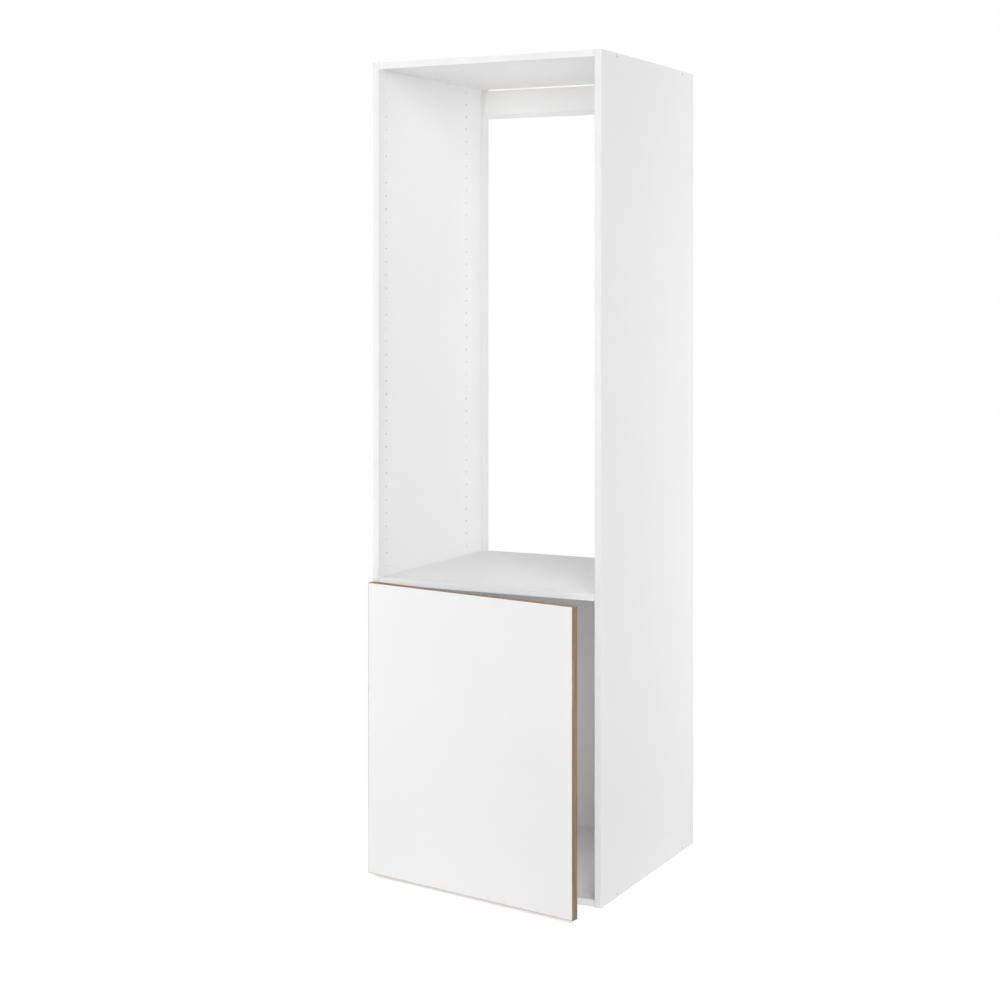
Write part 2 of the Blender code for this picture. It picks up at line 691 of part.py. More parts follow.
def door_bands(pivot):
    """Wood-look bands: those at the left and right run full height, and the others fit between."""
    middle = Vector((DOOR_LEFT + DOOR_RIGHT, DOOR_FRONT + DOOR_BACK, DOOR_BOTTOM + DOOR_TOP)) / 2
    height = DOOR_TOP - DOOR_BOTTOM
    width = DOOR_RIGHT - DOOR_LEFT
    between = width - 2 * (DOOR_BAND + GLUE_SEAM)
    edges = {
        "left": (-X_AXIS, width / 2, height),
        "right": (X_AXIS, width / 2, height),
        "bottom": (-Z_AXIS, height / 2, between),
        "top": (Z_AXIS, height / 2, between),
    }
    for edge, (out, reach, length) in edges.items():
        seam = middle + out * (reach - DOOR_BAND)
        size = (DOOR_THICKNESS, DOOR_BAND, length)
        ride(band("door_band_" + edge, seam, Y_AXIS, out, *size, oak_edge()), pivot)


def door_bumpers(pivot):
    """Low domes that fill the gap between the shut door and the right side."""
    height = DOOR_GAP - 2 * SEAT
    radius = BUMPER_DIAMETER / 2
    profile = [
        (0, 0),
        (radius, 0),
        (radius, height * BUMPER_CROWN_SHARE),
        (radius * BUMPER_CROWN_SHARE, height),
        (0, height),
    ]
    column = RIGHT - BOARD / 2
    levels = {"lower": DOOR_BOTTOM + BUMPER_END_DISTANCE, "upper": DOOR_TOP - BUMPER_END_DISTANCE}
    for where, level in levels.items():
        base = Vector((column, DOOR_BACK + SEAT, level))
        bumper = turned("door_bumper_" + where, profile, base, Y_AXIS, CAM_SIDES, soft_plastic())
        ride(smooth(bumper), pivot)


def cup_flange(name, level):
    """The flat wings that carry the cup on the door's back."""
    length = CUP_SCREW_SPACING + 2 * FLANGE_END
    outline = rounded_rectangle(FLANGE_WIDTH, length, FLANGE_CORNER, 3)
    middle = Vector((CUP_MIDDLE + FLANGE_OFFSET, CUP_RIM, level))
    flange = plate(name + "_flange", outline, middle, X_AXIS, Z_AXIS, FLANGE_THICKNESS)
    mouth = (CUP_MIDDLE, DOOR_BACK + OVERRUN, level)
    width = CUP_OUTER + CUP_INNER
    drill(flange, name + "_mouth", [mouth], -Y_AXIS, width, 2 * OVERRUN, CUP_SIDES)
    mouths = [mouth + Y_AXIS * OVERRUN for mouth in cup_screw_mouths(level)]
    bore = CUP_SCREW_DIAMETER + 2 * BORE_ROOM
    drill(flange, name + "_screw_holes", mouths, -Y_AXIS, bore, 2 * OVERRUN, SCREW_SIDES)
    return flange


def hinge_cup(which, level, pivot):
    """A drawn cup in its bore, its flange, and the two lugs that hold the pivot pin."""
    name = "hinge_cup_" + which
    floor = Vector((CUP_MIDDLE, CUP_BACK, level))
    height = CUP_RIM - CUP_BACK
    profile = [
        (0, 0),
        (CUP_OUTER, 0),
        (CUP_OUTER, height),
        (CUP_INNER, height),
        (CUP_INNER, CUP_FLOOR),
        (0, CUP_FLOOR),
    ]
    cup = turned(name, profile, floor, Y_AXIS, CUP_SIDES, nickel())
    join(cup, cup_flange(name, level))
    left = HINGE_AXIS.x - EYE_DIAMETER / 2
    for where, end in (("lower", -1), ("upper", 1)):
        corner = (left, CUP_INNER_FLOOR - CUP_FLOOR / 2, level + end * LUG_INNER)
        opposite = (left + LUG_LENGTH, HINGE_AXIS.y + EYE_DIAMETER / 2, level + end * LUG_OUTER)
        join(cup, box(f"{name}_{where}_lug", corner, opposite))
    reach = LUG_OUTER + EYE_ROOM
    start = (*HINGE_AXIS, level - reach)
    radius = PIN_DIAMETER / 2 + BORE_ROOM
    cut(cup, rods(name + "_pin_bore", [start], Z_AXIS, radius, 2 * reach, SCREW_SIDES))
    ride(smooth(cup), pivot)


def hinge_pin(which, level, pivot):
    start = (*HINGE_AXIS, level - PIN_LENGTH / 2)
    name = "hinge_pin_" + which
    pin = rods(name, [start], Z_AXIS, PIN_DIAMETER / 2, PIN_LENGTH, SCREW_SIDES, nickel())
    ride(smooth(pin), pivot)


def hinge_arm(which, level):
    """The neck with its eye, joined to the channel that straddles the mounting plate's rib."""
    name = "hinge_arm_" + which
    top = CHANNEL_FACE - ARM_METAL / 2
    neck = NECK_FACE + ARM_METAL / 2
    path = [
        Vector((top, CHANNEL_START + 2 * NECK_BEND)),
        Vector((top, CHANNEL_START)),
        Vector((neck, FRONT + 2 * ARM_METAL)),
        Vector((neck, HINGE_AXIS.y)),
        HINGE_AXIS,
    ]
    strip = ribbon(path, ARM_METAL, NECK_BEND, 4)
    arm = plate(name, strip, Z_AXIS * level, X_AXIS, Y_AXIS, NECK_WIDTH, nickel())
    start = (*HINGE_AXIS, level - NECK_WIDTH / 2)
    join(arm, rods(name + "_eye", [start], Z_AXIS, EYE_DIAMETER / 2, NECK_WIDTH, CAM_SIDES))

    half = CHANNEL_WIDTH / 2
    inside = half - CHANNEL_WALL
    bottom = PLATE_FACE + SEAT
    under = CHANNEL_FACE - ARM_METAL
    outline = [
        (bottom, -half),
        (CHANNEL_FACE, -half),
        (CHANNEL_FACE, half),
        (bottom, half),
        (bottom, inside),
        (under, inside),
        (under, -inside),
        (bottom, -inside),
    ]
    middle = Vector((0, CHANNEL_START + CHANNEL_LENGTH / 2, level))
    join(arm, plate(name + "_channel", outline, middle, X_AXIS, Z_AXIS, CHANNEL_LENGTH))

    start = (*HINGE_AXIS, level - NECK_WIDTH)
    radius = PIN_DIAMETER / 2 + BORE_ROOM
    cut(arm, rods(name + "_pin_bore", [start], Z_AXIS, radius, 2 * NECK_WIDTH, SCREW_SIDES))
    mouths = [(CHANNEL_FACE, place, level) for place in ARM_SCREW_PLACES.values()]
    bore = ARM_SCREW_DIAMETER + 2 * BORE_ROOM
    drill(arm, name + "_screw_holes", mouths, -X_AXIS, bore, ARM_METAL + SEAT, SCREW_SIDES)
    smooth(arm)


def plate_screw_mouths(level, face):
    column = COLUMNS["front"]
    return [Vector((face, column, level + step * HOLE_PITCH / 2)) for step in (-1, 1)]


def hinge_plate(which, level):
    """A plate across two system holes of the left side, with a rib along the arm's channel."""
    name = "hinge_plate_" + which
    half = (HOLE_PITCH + 2 * PLATE_END) / 2
    middle = COLUMNS["front"]
    corner = (PLATE_BACK, middle - PLATE_WIDTH / 2, level - half)
    base = box(name, corner, (PLATE_FACE, middle + PLATE_WIDTH / 2, level + half), nickel())
    start = CHANNEL_START + ARM_METAL
    corner = (PLATE_BACK, start, level - RIB_WIDTH / 2)
    join(base, box(name + "_rib", corner, (RIB_TOP, start + RIB_LENGTH, level + RIB_WIDTH / 2)))
    bore = PLATE_SCREW_DIAMETER + 2 * BORE_ROOM
    mouths = plate_screw_mouths(level, PLATE_FACE)
    depth = PLATE_THICKNESS + OVERRUN
    drill(base, name + "_screw_holes", mouths, -X_AXIS, bore, depth, SCREW_SIDES)
    mouths = [(RIB_TOP, place, level) for place in ARM_SCREW_PLACES.values()]
    bore = ARM_SCREW_DIAMETER + 2 * BORE_ROOM
    depth = ARM_SCREW_LENGTH - ARM_METAL
    drill(base, name + "_arm_screw_bores", mouths, -X_AXIS, bore, depth, SCREW_SIDES)


def pan_screw(name, mouth, into, head_diameter, head, diameter, reach):
    """A screw whose flat head stands just off its seat, and whose shank ends just short of its bore."""
    shank = reach - SEAT
    profile = [
        (0, -head),
        (head_diameter / 2, -head),
        (head_diameter / 2, 0),
        (diameter / 2, 0),
        (diameter / 2, shank),
        (0, shank),
    ]
    return smooth(turned(name, profile, mouth - into * SEAT, into, SCREW_SIDES, nickel()))


def hinge_screws(which, level, pivot):
    """Two screws for the mounting plate, two on the arm, and two for the cup's flange."""
    size = (PLATE_SCREW_HEAD_DIAMETER, PLATE_SCREW_HEAD, PLATE_SCREW_DIAMETER)
    reach = PLATE_THICKNESS + PLATE_SCREW_DEPTH
    for where, mouth in zip(("lower", "upper"), plate_screw_mouths(level, PLATE_FACE)):
        pan_screw(f"plate_screw_{which}_{where}", mouth, -X_AXIS, *size, reach)
    size = (ARM_SCREW_HEAD_DIAMETER, ARM_SCREW_HEAD, ARM_SCREW_DIAMETER)
    for use, place in ARM_SCREW_PLACES.items():
        mouth = Vector((CHANNEL_FACE, place, level))
        pan_screw(f"{use}_screw_{which}", mouth, -X_AXIS, *size, ARM_SCREW_LENGTH)
    size = (CUP_SCREW_HEAD_DIAMETER, CUP_SCREW_HEAD, CUP_SCREW_DIAMETER)
    reach = FLANGE_THICKNESS + CUP_SCREW_LENGTH
    for where, mouth in zip(("lower", "upper"), cup_screw_mouths(level)):
        face = mouth + Y_AXIS * (SEAT + FLANGE_THICKNESS)
        ride(pan_screw(f"cup_screw_{which}_{where}", face, -Y_AXIS, *size, reach), pivot)


def carcass():
    for side in SIDES:
        side_panel(side)
    screwed_panel("top_panel", TOP_MIDDLE)
    back_groove(screwed_panel("bottom_panel", BOTTOM_MIDDLE), BOARD, -1)
    mid_shelf()
    edge_bands()
    back_panel()
    top_back_rail()
    through_screws()
    for side in SIDES:
        for where in COLUMNS:
            cam(side, where)
            cam_bolt(side, where)
    rail_dowels()


def door():
    """The door and its hinges. The empty on the hinge axis carries all that turns."""
    pivot = bpy.data.objects.new("door_hinge_axis", None)
    bpy.data.collections["fridge_housing_unit"].objects.link(pivot)
    pivot.location = (*HINGE_AXIS, 0)
    door_panel(pivot)
    door_bands(pivot)
    door_bumpers(pivot)
    for which, row in HINGE_ROWS.items():
        level = hinge_level(row)
        hinge_cup(which, level, pivot)
        hinge_pin(which, level, pivot)
        hinge_arm(which, level)
        hinge_plate(which, level)
        hinge_screws(which, level, pivot)
    pivot.rotation_euler.z = -DOOR_AJAR


start_empty()
carcass()
door()
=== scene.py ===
import math

import bpy
import numpy as np
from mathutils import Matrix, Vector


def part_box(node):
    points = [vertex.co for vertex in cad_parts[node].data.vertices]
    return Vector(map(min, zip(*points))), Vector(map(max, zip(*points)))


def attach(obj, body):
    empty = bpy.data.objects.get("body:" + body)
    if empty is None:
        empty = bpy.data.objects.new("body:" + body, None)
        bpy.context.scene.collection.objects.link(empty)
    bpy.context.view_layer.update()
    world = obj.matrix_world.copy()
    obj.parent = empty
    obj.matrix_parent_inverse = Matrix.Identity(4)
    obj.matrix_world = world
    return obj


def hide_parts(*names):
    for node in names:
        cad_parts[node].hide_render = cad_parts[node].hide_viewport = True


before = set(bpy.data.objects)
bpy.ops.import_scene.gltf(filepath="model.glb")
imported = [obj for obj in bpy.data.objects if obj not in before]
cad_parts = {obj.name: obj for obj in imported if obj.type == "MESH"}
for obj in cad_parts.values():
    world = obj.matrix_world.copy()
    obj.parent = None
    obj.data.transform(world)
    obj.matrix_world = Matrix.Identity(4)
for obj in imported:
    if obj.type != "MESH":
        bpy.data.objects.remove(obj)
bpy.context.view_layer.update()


# The boards of the carcass: 16 mm chipboard faced with white melamine foil, with a faint pearl
# texture pressed into it. The ends at the back and underneath are left as the saw cut them.
BOARD_WHITE = (240, 240, 240)
SPECK_GREY = (205, 204, 200)
PALE_FLAKE, DARK_FLAKE = (206, 176, 132), (158, 124, 84)
FLAKE_GAP, SAW_DUST = (112, 84, 54), (222, 198, 160)
FOIL_ROUGHNESS = (0.40, 0.50)
SAWN_ROUGHNESS = 0.9
PEARL_DEPTH = 0.00003
# The gaps between sawn flakes are pits, seven times as deep as the pearl texture is high.
PIT_HEIGHT = -7.0
SAWN_ROOM = 0.0004
BACK, UNDER = (0.0, 1.0, 0.0), (0.0, 0.0, -1.0)
SAWN_ENDS = {
    "side_left": (BACK, UNDER),
    "side_right": (BACK, UNDER),
    "top_panel": (BACK,),
    "mid_shelf": (BACK,),
    "bottom_panel": (BACK,),
    "top_back_rail": (),
}


def empty_tree(name):
    """A new material with nothing in its tree, as (material, tree)."""
    material = bpy.data.materials.new(name)
    material.use_nodes = True
    material.node_tree.nodes.clear()
    return material, material.node_tree


def put(tree, kind, inputs=None, **options):
    """One node in the tree. Each input is a number, a colour, or another node's output."""
    made = tree.nodes.new(kind)
    for key, value in options.items():
        setattr(made, key, value)
    for key, value in (inputs or {}).items():
        if isinstance(value, bpy.types.NodeSocket):
            tree.links.new(value, made.inputs[key])
        else:
            made.inputs[key].default_value = value
    return made


def noise(tree, where, scale, detail=2.0, stretch=None):
    """Noise of that many waves to the metre, from 0 to 1. Stretch scales the axes first."""
    if stretch:
        where = put(tree, "ShaderNodeMapping", {"Vector": where, "Scale": stretch}).outputs[0]
    return put(
        tree, "ShaderNodeTexNoise", {"Vector": where, "Scale": scale, "Detail": detail}
    ).outputs["Fac"]


def ranged(tree, value, low, high, start=0.3, stop=0.7):
    """The value, carried from start..stop to low..high and held there."""
    return put(
        tree,
        "ShaderNodeMapRange",
        {"Value": value, "From Min": start, "From Max": stop, "To Min": low, "To Max": high},
    ).outputs[0]


def maths(tree, operation, a, b=0.0):
    """One operation on two values."""
    return put(tree, "ShaderNodeMath", {0: a, 1: b}, operation=operation).outputs[0]


def blended(tree, share, a, b):
    """Colour a where share is 0 and colour b where it is 1."""
    return put(tree, "ShaderNodeMix", {0: share, 6: a, 7: b}, data_type="RGBA").outputs[2]


def along(tree, vector, direction):
    """How far a vector reaches along a direction."""
    return put(
        tree, "ShaderNodeVectorMath", {0: vector, 1: direction}, operation="DOT_PRODUCT"
    ).outputs["Value"]


def bumped(tree, height, strength, depth):
    """The surface's normal, tilted by a pattern whose step from 0 to 1 is that many metres."""
    return put(
        tree, "ShaderNodeBump", {"Height": height, "Strength": strength, "Distance": depth}
    ).outputs[0]


def shaded(tree, colour, roughness, normal=None, **sockets):
    """The shader that ends the tree. Plain numbers go straight to its own sockets."""
    inputs = {"Base Color": colour, "Roughness": roughness}
    inputs.update({key.replace("_", " "): value for key, value in sockets.items()})
    if normal:
        inputs["Normal"] = normal
    shader = put(tree, "ShaderNodeBsdfPrincipled", inputs)
    put(tree, "ShaderNodeOutputMaterial", {"Surface": shader.outputs[0]})


def rgb(red, green, blue):
    """A screen colour from 0 to 255 as a shader's linear colour, by the sRGB curve."""
    screen = np.array([red, green, blue]) / 255
    linear = np.where(screen > 0.04045, ((screen + 0.055) / 1.055) ** 2.4, screen / 12.92)
    return (*linear.tolist(), 1.0)


def mottled(tree, pattern, tone, darker):
    """The tone, with soft patches that are darker by that much where the pattern is high."""
    shade = [value - darker for value in tone]
    return blended(tree, ranged(tree, pattern, 0.0, 1.0), rgb(*tone), rgb(*shade))


def chips(tree, where):
    """Sawn chipboard, as (colour, gap): flakes of pale wood 2 to 4 mm long, longest upright.

    Each flake is a cell with a tone of its own. The gap is 0 on the flakes and 1 between them, by the
    distance from the cell's middle, and darkens the wood there."""
    flat = put(tree, "ShaderNodeMapping", {"Vector": where, "Scale": (1.0, 1.0, 0.55)}).outputs[0]
    flake = put(
        tree, "ShaderNodeTexVoronoi", {"Vector": flat, "Scale": 520.0, "Randomness": 1.0}
    )
    tone = put(tree, "ShaderNodeSeparateColor", {0: flake.outputs["Color"]}).outputs[0]
    wood = blended(tree, tone, rgb(*PALE_FLAKE), rgb(*DARK_FLAKE))
    gap = ranged(tree, flake.outputs["Distance"], 0.0, 1.0, 0.35, 0.75)
    wood = blended(tree, maths(tree, "MULTIPLY", gap, 0.45), wood, rgb(*FLAKE_GAP))
    dust = noise(tree, where, 1400.0, 1.0)
    return blended(tree, maths(tree, "MULTIPLY", dust, 0.25), wood, rgb(*SAW_DUST)), gap


def melamine(name, tone, sawn=()):
    """White melamine foil over chipboard, which is bare on some ends.

    Each entry of sawn is (direction, reach): a face shows bare chipboard where it faces that way and
    lies at least that far along it, so the walls of the drilled holes stay as they are."""
    material, tree = empty_tree(name)
    place = put(tree, "ShaderNodeTexCoord")
    where = place.outputs["Object"]
    colour = mottled(tree, noise(tree, where, 3.0), tone, 2)
    speck = ranged(tree, noise(tree, where, 2600.0, 0.0), 0.0, 0.05, 0.62, 0.80)
    colour = blended(tree, speck, colour, rgb(*SPECK_GREY))
    height = noise(tree, where, 850.0, 2.0)
    rough = ranged(tree, noise(tree, where, 55.0, 3.0), *FOIL_ROUGHNESS)
    if sawn:
        bare, gap = chips(tree, where)
        share = 0.0
        for direction, reach in sawn:
            facing = along(tree, place.outputs["Normal"], direction)
            lying = along(tree, where, direction)
            end = maths(
                tree,
                "MULTIPLY",
                maths(tree, "GREATER_THAN", facing, 0.9),
                maths(tree, "GREATER_THAN", lying, reach - SAWN_ROOM),
            )
            share = maths(tree, "MAXIMUM", share, end)
        colour = blended(tree, share, colour, bare)
        rough = maths(tree, "MAXIMUM", rough, maths(tree, "MULTIPLY", share, SAWN_ROUGHNESS))
        pit = maths(tree, "MULTIPLY", gap, PIT_HEIGHT)
        height = maths(tree, "ADD", height, maths(tree, "MULTIPLY", share, pit))
    bump = bumped(tree, height, 0.5, PEARL_DEPTH)
    shaded(tree, colour, rough, bump, Specular_IOR_Level=0.5)
    return material


def dress(name, material):
    """Gives a CAD node its material."""
    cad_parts[name].data.materials.clear()
    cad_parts[name].data.materials.append(material)


board_finishes = {}
for board, directions in SAWN_ENDS.items():
    low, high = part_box(board)
    reaches = {BACK: round(float(high[1]), 5), UNDER: round(-float(low[2]), 5)}
    sawn = tuple((direction, reaches[direction]) for direction in directions)
    if sawn not in board_finishes:
        board_finishes[sawn] = melamine(f"white_melamine_{len(board_finishes)}", BOARD_WHITE, sawn)
    dress(board, board_finishes[sawn])


# The edge bands: 1 mm strips of white plastic glued round the front edges of the boards and
# scraped flush, which leaves fine lines along their length.
SCRAPED_ROUGHNESS = (0.32, 0.46)
SCRAPE_DEPTH = 0.00002
ALONG_X, ALONG_Z = 0, 2
# The three tones are painted light, lit and shaded copies of the one white plastic: the shelf's band is
# painted lighter against the shade that the door casts on it, and the top and bottom bands a little
# lighter than the sides'.
BANDS = {
    "upright": ((240, 240, 240), ALONG_Z, ("side_left", "side_right")),
    "level": ((242, 242, 242), ALONG_X, ("top_panel", "bottom_panel")),
    "shelf": ((248, 248, 248), ALONG_X, ("mid_shelf",)),
}


def edge_band(name, tone, length_axis):
    """White plastic band, with scraper lines along one axis."""
    material, tree = empty_tree(name)
    where = put(tree, "ShaderNodeTexCoord").outputs["Object"]
    stretch = tuple(0.01 if axis == length_axis else 1.0 for axis in range(3))
    line = noise(tree, where, 2400.0, 1.0, stretch)
    colour = mottled(tree, noise(tree, where, 6.0), tone, 3)
    rough = ranged(tree, line, *SCRAPED_ROUGHNESS)
    shaded(tree, colour, rough, bumped(tree, line, 0.4, SCRAPE_DEPTH), Specular_IOR_Level=0.5)
    return material


for use, (tone, length_axis, boards) in BANDS.items():
    band = edge_band(f"painted_light_white_edge_band_{use}", tone, length_axis)
    for board in boards:
        dress(f"edge_band_{board}", band)


# The back: 3 mm hardboard slid into the grooves, lacquered white on the side that shows and
# left brown and fibrous on the other.
LACQUER_WHITE, LACQUER_SHADE = (239, 239, 239), (237, 237, 236)
BROWN_FIBRE, PALE_FIBRE, DARK_CLOUD = (128, 92, 60), (160, 122, 84), (118, 84, 56)
LACQUER_ROUGHNESS = (0.42, 0.55)
FIBRE_ROUGHNESS = 0.85
FELT_DEPTH = 0.00003
hardboard, tree = empty_tree("white_hardboard")
place = put(tree, "ShaderNodeTexCoord")
where = place.outputs["Object"]
cloud = ranged(tree, noise(tree, where, 4.0), 0.0, 1.0)
white = blended(tree, cloud, rgb(*LACQUER_WHITE), rgb(*LACQUER_SHADE))
behind = maths(tree, "GREATER_THAN", along(tree, place.outputs["Normal"], BACK), 0.5)
fibre = noise(tree, where, 900.0, 6.0, (1.0, 1.0, 0.35))
streak = ranged(tree, fibre, 0.0, 1.0, 0.35, 0.65)
brown = blended(tree, streak, rgb(*BROWN_FIBRE), rgb(*PALE_FIBRE))
patch = ranged(tree, noise(tree, where, 14.0, 4.0), 0.0, 0.5)
brown = blended(tree, patch, brown, rgb(*DARK_CLOUD))
lacquer = ranged(tree, noise(tree, where, 420.0, 5.0), *LACQUER_ROUGHNESS)
rough = maths(tree, "MAXIMUM", lacquer, maths(tree, "MULTIPLY", behind, FIBRE_ROUGHNESS))
coarse = maths(tree, "ADD", 0.6, maths(tree, "MULTIPLY", behind, 6.0))
bump = bumped(tree, maths(tree, "MULTIPLY", fibre, coarse), 0.5, FELT_DEPTH)
shaded(tree, blended(tree, behind, white, brown), rough, bump, Specular_IOR_Level=0.5)
dress("back_panel", hardboard)


# The carcass screws: zinc-plated steel, with a flat head and a hexagon socket, driven through the
# sides into the ends of the top and bottom panels until the head lies just below the foil.
CASE_HALF, CASE_TOP = 0.300, 1.952
HALF_BOARD = 0.008
SCREW_PLACES = {"front": -0.197, "rear": 0.215}
SCREW_SUNK = 0.0002
SOCKET_HALF = 0.00130
HEAD_RADIUS, SHOULDER_RADIUS = 0.0035, 0.0025
THREAD_RADIUS, THREAD_RISE = 0.0016, 0.00022
THREAD_START, THREAD_LENGTH, THREAD_TURNS = -0.0158, 0.0336, 16
SCRATCH_DEPTH = 0.00001
CREASE = 38.0


def plated(name, tone, roughness):
    """Plated metal: the plating's crystals make faint patches, and handling leaves fine scratches."""
    material, tree = empty_tree(name)
    where = put(tree, "ShaderNodeTexCoord").outputs["Object"]
    patch = noise(tree, where, 700.0, 3.0)
    scratch = noise(tree, where, 5200.0, 2.0, (1.0, 0.12, 1.0))
    halves = [maths(tree, "MULTIPLY", pattern, 0.5) for pattern in (patch, scratch)]
    rough = ranged(tree, maths(tree, "ADD", *halves), *roughness)
    bump = bumped(tree, scratch, 0.3, SCRATCH_DEPTH)
    shaded(tree, mottled(tree, patch, tone, 14), rough, bump, Metallic=1.0)
    return material


zinc = plated("zinc_plated_steel", (206, 208, 210), (0.30, 0.46))


def skin(grid, ends="poles"):
    """A closed skin over rows of rings, as (points, four-sided faces, triangles).

    Each ring joins the next, and the ends are closed by a fan to the ring's own middle ("poles"), by
    faces across from a ring's first half to its second ("pairs"), or the last ring joins the first
    ("joined"). The volume is the sum over the triangles of a . (b x c) / 6; where it comes out below
    zero, every face is turned round."""
    grid = np.asarray(grid, dtype=float)
    rows, columns = grid.shape[:2]
    points = grid.reshape(-1, 3)
    ring = np.arange(rows * columns).reshape(rows, columns)
    low, high = (ring, np.roll(ring, -1, 0)) if ends == "joined" else (ring[:-1], ring[1:])
    quads = np.stack([low, np.roll(low, -1, 1), np.roll(high, -1, 1), high], -1).reshape(-1, 4)
    triangles = np.empty((0, 3), dtype=int)
    first, last = ring[0], ring[-1]
    if ends == "poles":
        points = np.vstack([points, grid[0].mean(0), grid[-1].mean(0)])
        pole = np.full(columns, rows * columns)
        triangles = np.vstack(
            [
                np.column_stack([np.roll(first, -1), first, pole]),
                np.column_stack([last, np.roll(last, -1), pole + 1]),
            ]
        )
    if ends == "pairs":
        half = columns // 2
        near, far = first[:half], first[half:][::-1]
        start = np.column_stack([near[1:], near[:-1], far[:-1], far[1:]])
        near, far = last[:half], last[half:][::-1]
        stop = np.column_stack([near[:-1], near[1:], far[1:], far[:-1]])
        quads = np.vstack([quads, start, stop])
    return outward(points, quads, triangles)


def outward(points, quads, triangles):
    """The same skin with its faces pointing out of the solid that it closes."""
    every = np.vstack([quads[:, [0, 1, 2]], quads[:, [0, 2, 3]], triangles])
    a, b, c = (points[every[:, corner]] for corner in range(3))
    if (a * np.cross(b, c)).sum() < 0:
        quads, triangles = quads[:, ::-1], triangles[:, ::-1]
    return points, quads, triangles


def piece(name, skins, finish, body, node):
    """One object made of closed skins, smooth but for its creases, that replaces a CAD node."""
    starts = np.cumsum([0] + [len(points) for points, _, _ in skins])
    points = np.vstack([points for points, _, _ in skins])
    quads = np.vstack([made[1] + start for made, start in zip(skins, starts)])
    triangles = np.vstack([made[2] + start for made, start in zip(skins, starts)])
    mesh = bpy.data.meshes.new(name)
    mesh.from_pydata(points.tolist(), [], quads.tolist() + triangles.tolist())
    mesh.shade_smooth()
    mesh.set_sharp_from_angle(angle=math.radians(CREASE))
    mesh.materials.append(finish)
    made = bpy.data.objects.new(name, mesh)
    bpy.context.scene.collection.objects.link(made)
    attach(made, body)
    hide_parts(node)


def around(count):
    """Directions spread evenly round a circle."""
    return np.arange(count) * 2 * np.pi / count


def rings(turn, rows):
    """Rings of points round the third axis, one for each (radius, height) of the rows.

    A radius or height is one number for the whole ring, or one for each direction in turn: a point
    lies at (radius cos turn, radius sin turn, height)."""
    return np.array(
        [np.column_stack([r * np.cos(turn), r * np.sin(turn), h + 0 * turn]) for r, h in rows]
    )


def put_at(made, origin, out):
    """Carries a skin to an origin.

    Its third axis then points out of the board, and its second up, or back where the board is level."""
    points, quads, triangles = made
    out = np.array(out, dtype=float)
    up = np.array([0.0, 0.0, 1.0]) if abs(out[2]) < 0.5 else np.array([0.0, 1.0, 0.0])
    axes = np.array([np.cross(up, out), up, out])
    return points @ axes + np.array(origin), quads, triangles


def socket_screw():
    """A carcass screw: a flat head with a hexagon socket, a cone below it, a shoulder and a thread.

    The hexagon's radius at an angle is half its width over the cosine of the angle from the middle
    of the nearest flat. The thread's radius rises and falls with the cosine of the way along it, and
    shrinks to a quarter over the last eighth."""
    turn = around(48)
    flat = SOCKET_HALF / np.cos((turn + np.pi / 6) % (np.pi / 3) - np.pi / 6)
    way = np.linspace(0.0, 1.0, 97)[:, None]
    thread = THREAD_RADIUS + THREAD_RISE * np.cos(
        2 * np.pi * (way * THREAD_TURNS - turn / (2 * np.pi))
    )
    taper = np.clip((1 - way) / 0.12, 0.25, 1.0)
    socket = [(0.4 * flat, -0.0020), (flat, -0.0019), (flat, -0.0002), (1.10 * flat, 0.0)]
    head = [(0.0031, 0.0), (HEAD_RADIUS, -0.0003), (HEAD_RADIUS, -0.0008)]
    shoulder = [(SHOULDER_RADIUS, -0.0026), (SHOULDER_RADIUS, -0.0156)]
    spiral = list(zip(thread * taper, THREAD_START - THREAD_LENGTH * way[:, 0]))
    return skin(rings(turn, socket + head + shoulder + spiral))


for panel, level in (("bottom", HALF_BOARD), ("top", CASE_TOP - HALF_BOARD)):
    for side, sign in (("left", -1), ("right", 1)):
        for where, depth in SCREW_PLACES.items():
            face = (sign * (CASE_HALF - SCREW_SUNK), depth, level)
            screw = put_at(socket_screw(), face, (sign, 0, 0))
            name = f"screw_{panel}_{side}_{where}"
            piece(f"carcass_{name}", [screw], zinc, "cabinet", name)


# The mid shelf's connectors and the rail's dowels: zinc-plated cams let into the underside of the
# shelf, the steel bolts that they pull, and beech dowels glued into the ends of the rail.
SHELF_UNDERSIDE = 0.696
CAM_REACH = 0.250
CAM_PLACES = {"front": -0.253, "rear": 0.163}
CAM_SUNK = 0.0008
PALE_GRAIN, DARK_GRAIN, FLECK = (214, 182, 142), (190, 152, 112), (160, 120, 84)
BEECH_ROUGHNESS = (0.55, 0.70)
GRAIN_DEPTH = 0.00005
beech, tree = empty_tree("beech")
where = put(tree, "ShaderNodeTexCoord").outputs["Object"]
grain = noise(tree, where, 1800.0, 3.0, (0.05, 1.0, 1.0))
fleck = ranged(tree, noise(tree, where, 900.0, 1.0, (0.2, 1.0, 1.0)), 0.0, 0.7, 0.60, 0.70)
colour = blended(tree, ranged(tree, grain, 0.0, 1.0), rgb(*PALE_GRAIN), rgb(*DARK_GRAIN))
colour = blended(tree, fleck, colour, rgb(*FLECK))
rough = ranged(tree, grain, *BEECH_ROUGHNESS)
shaded(tree, colour, rough, bumped(tree, grain, 0.5, GRAIN_DEPTH))


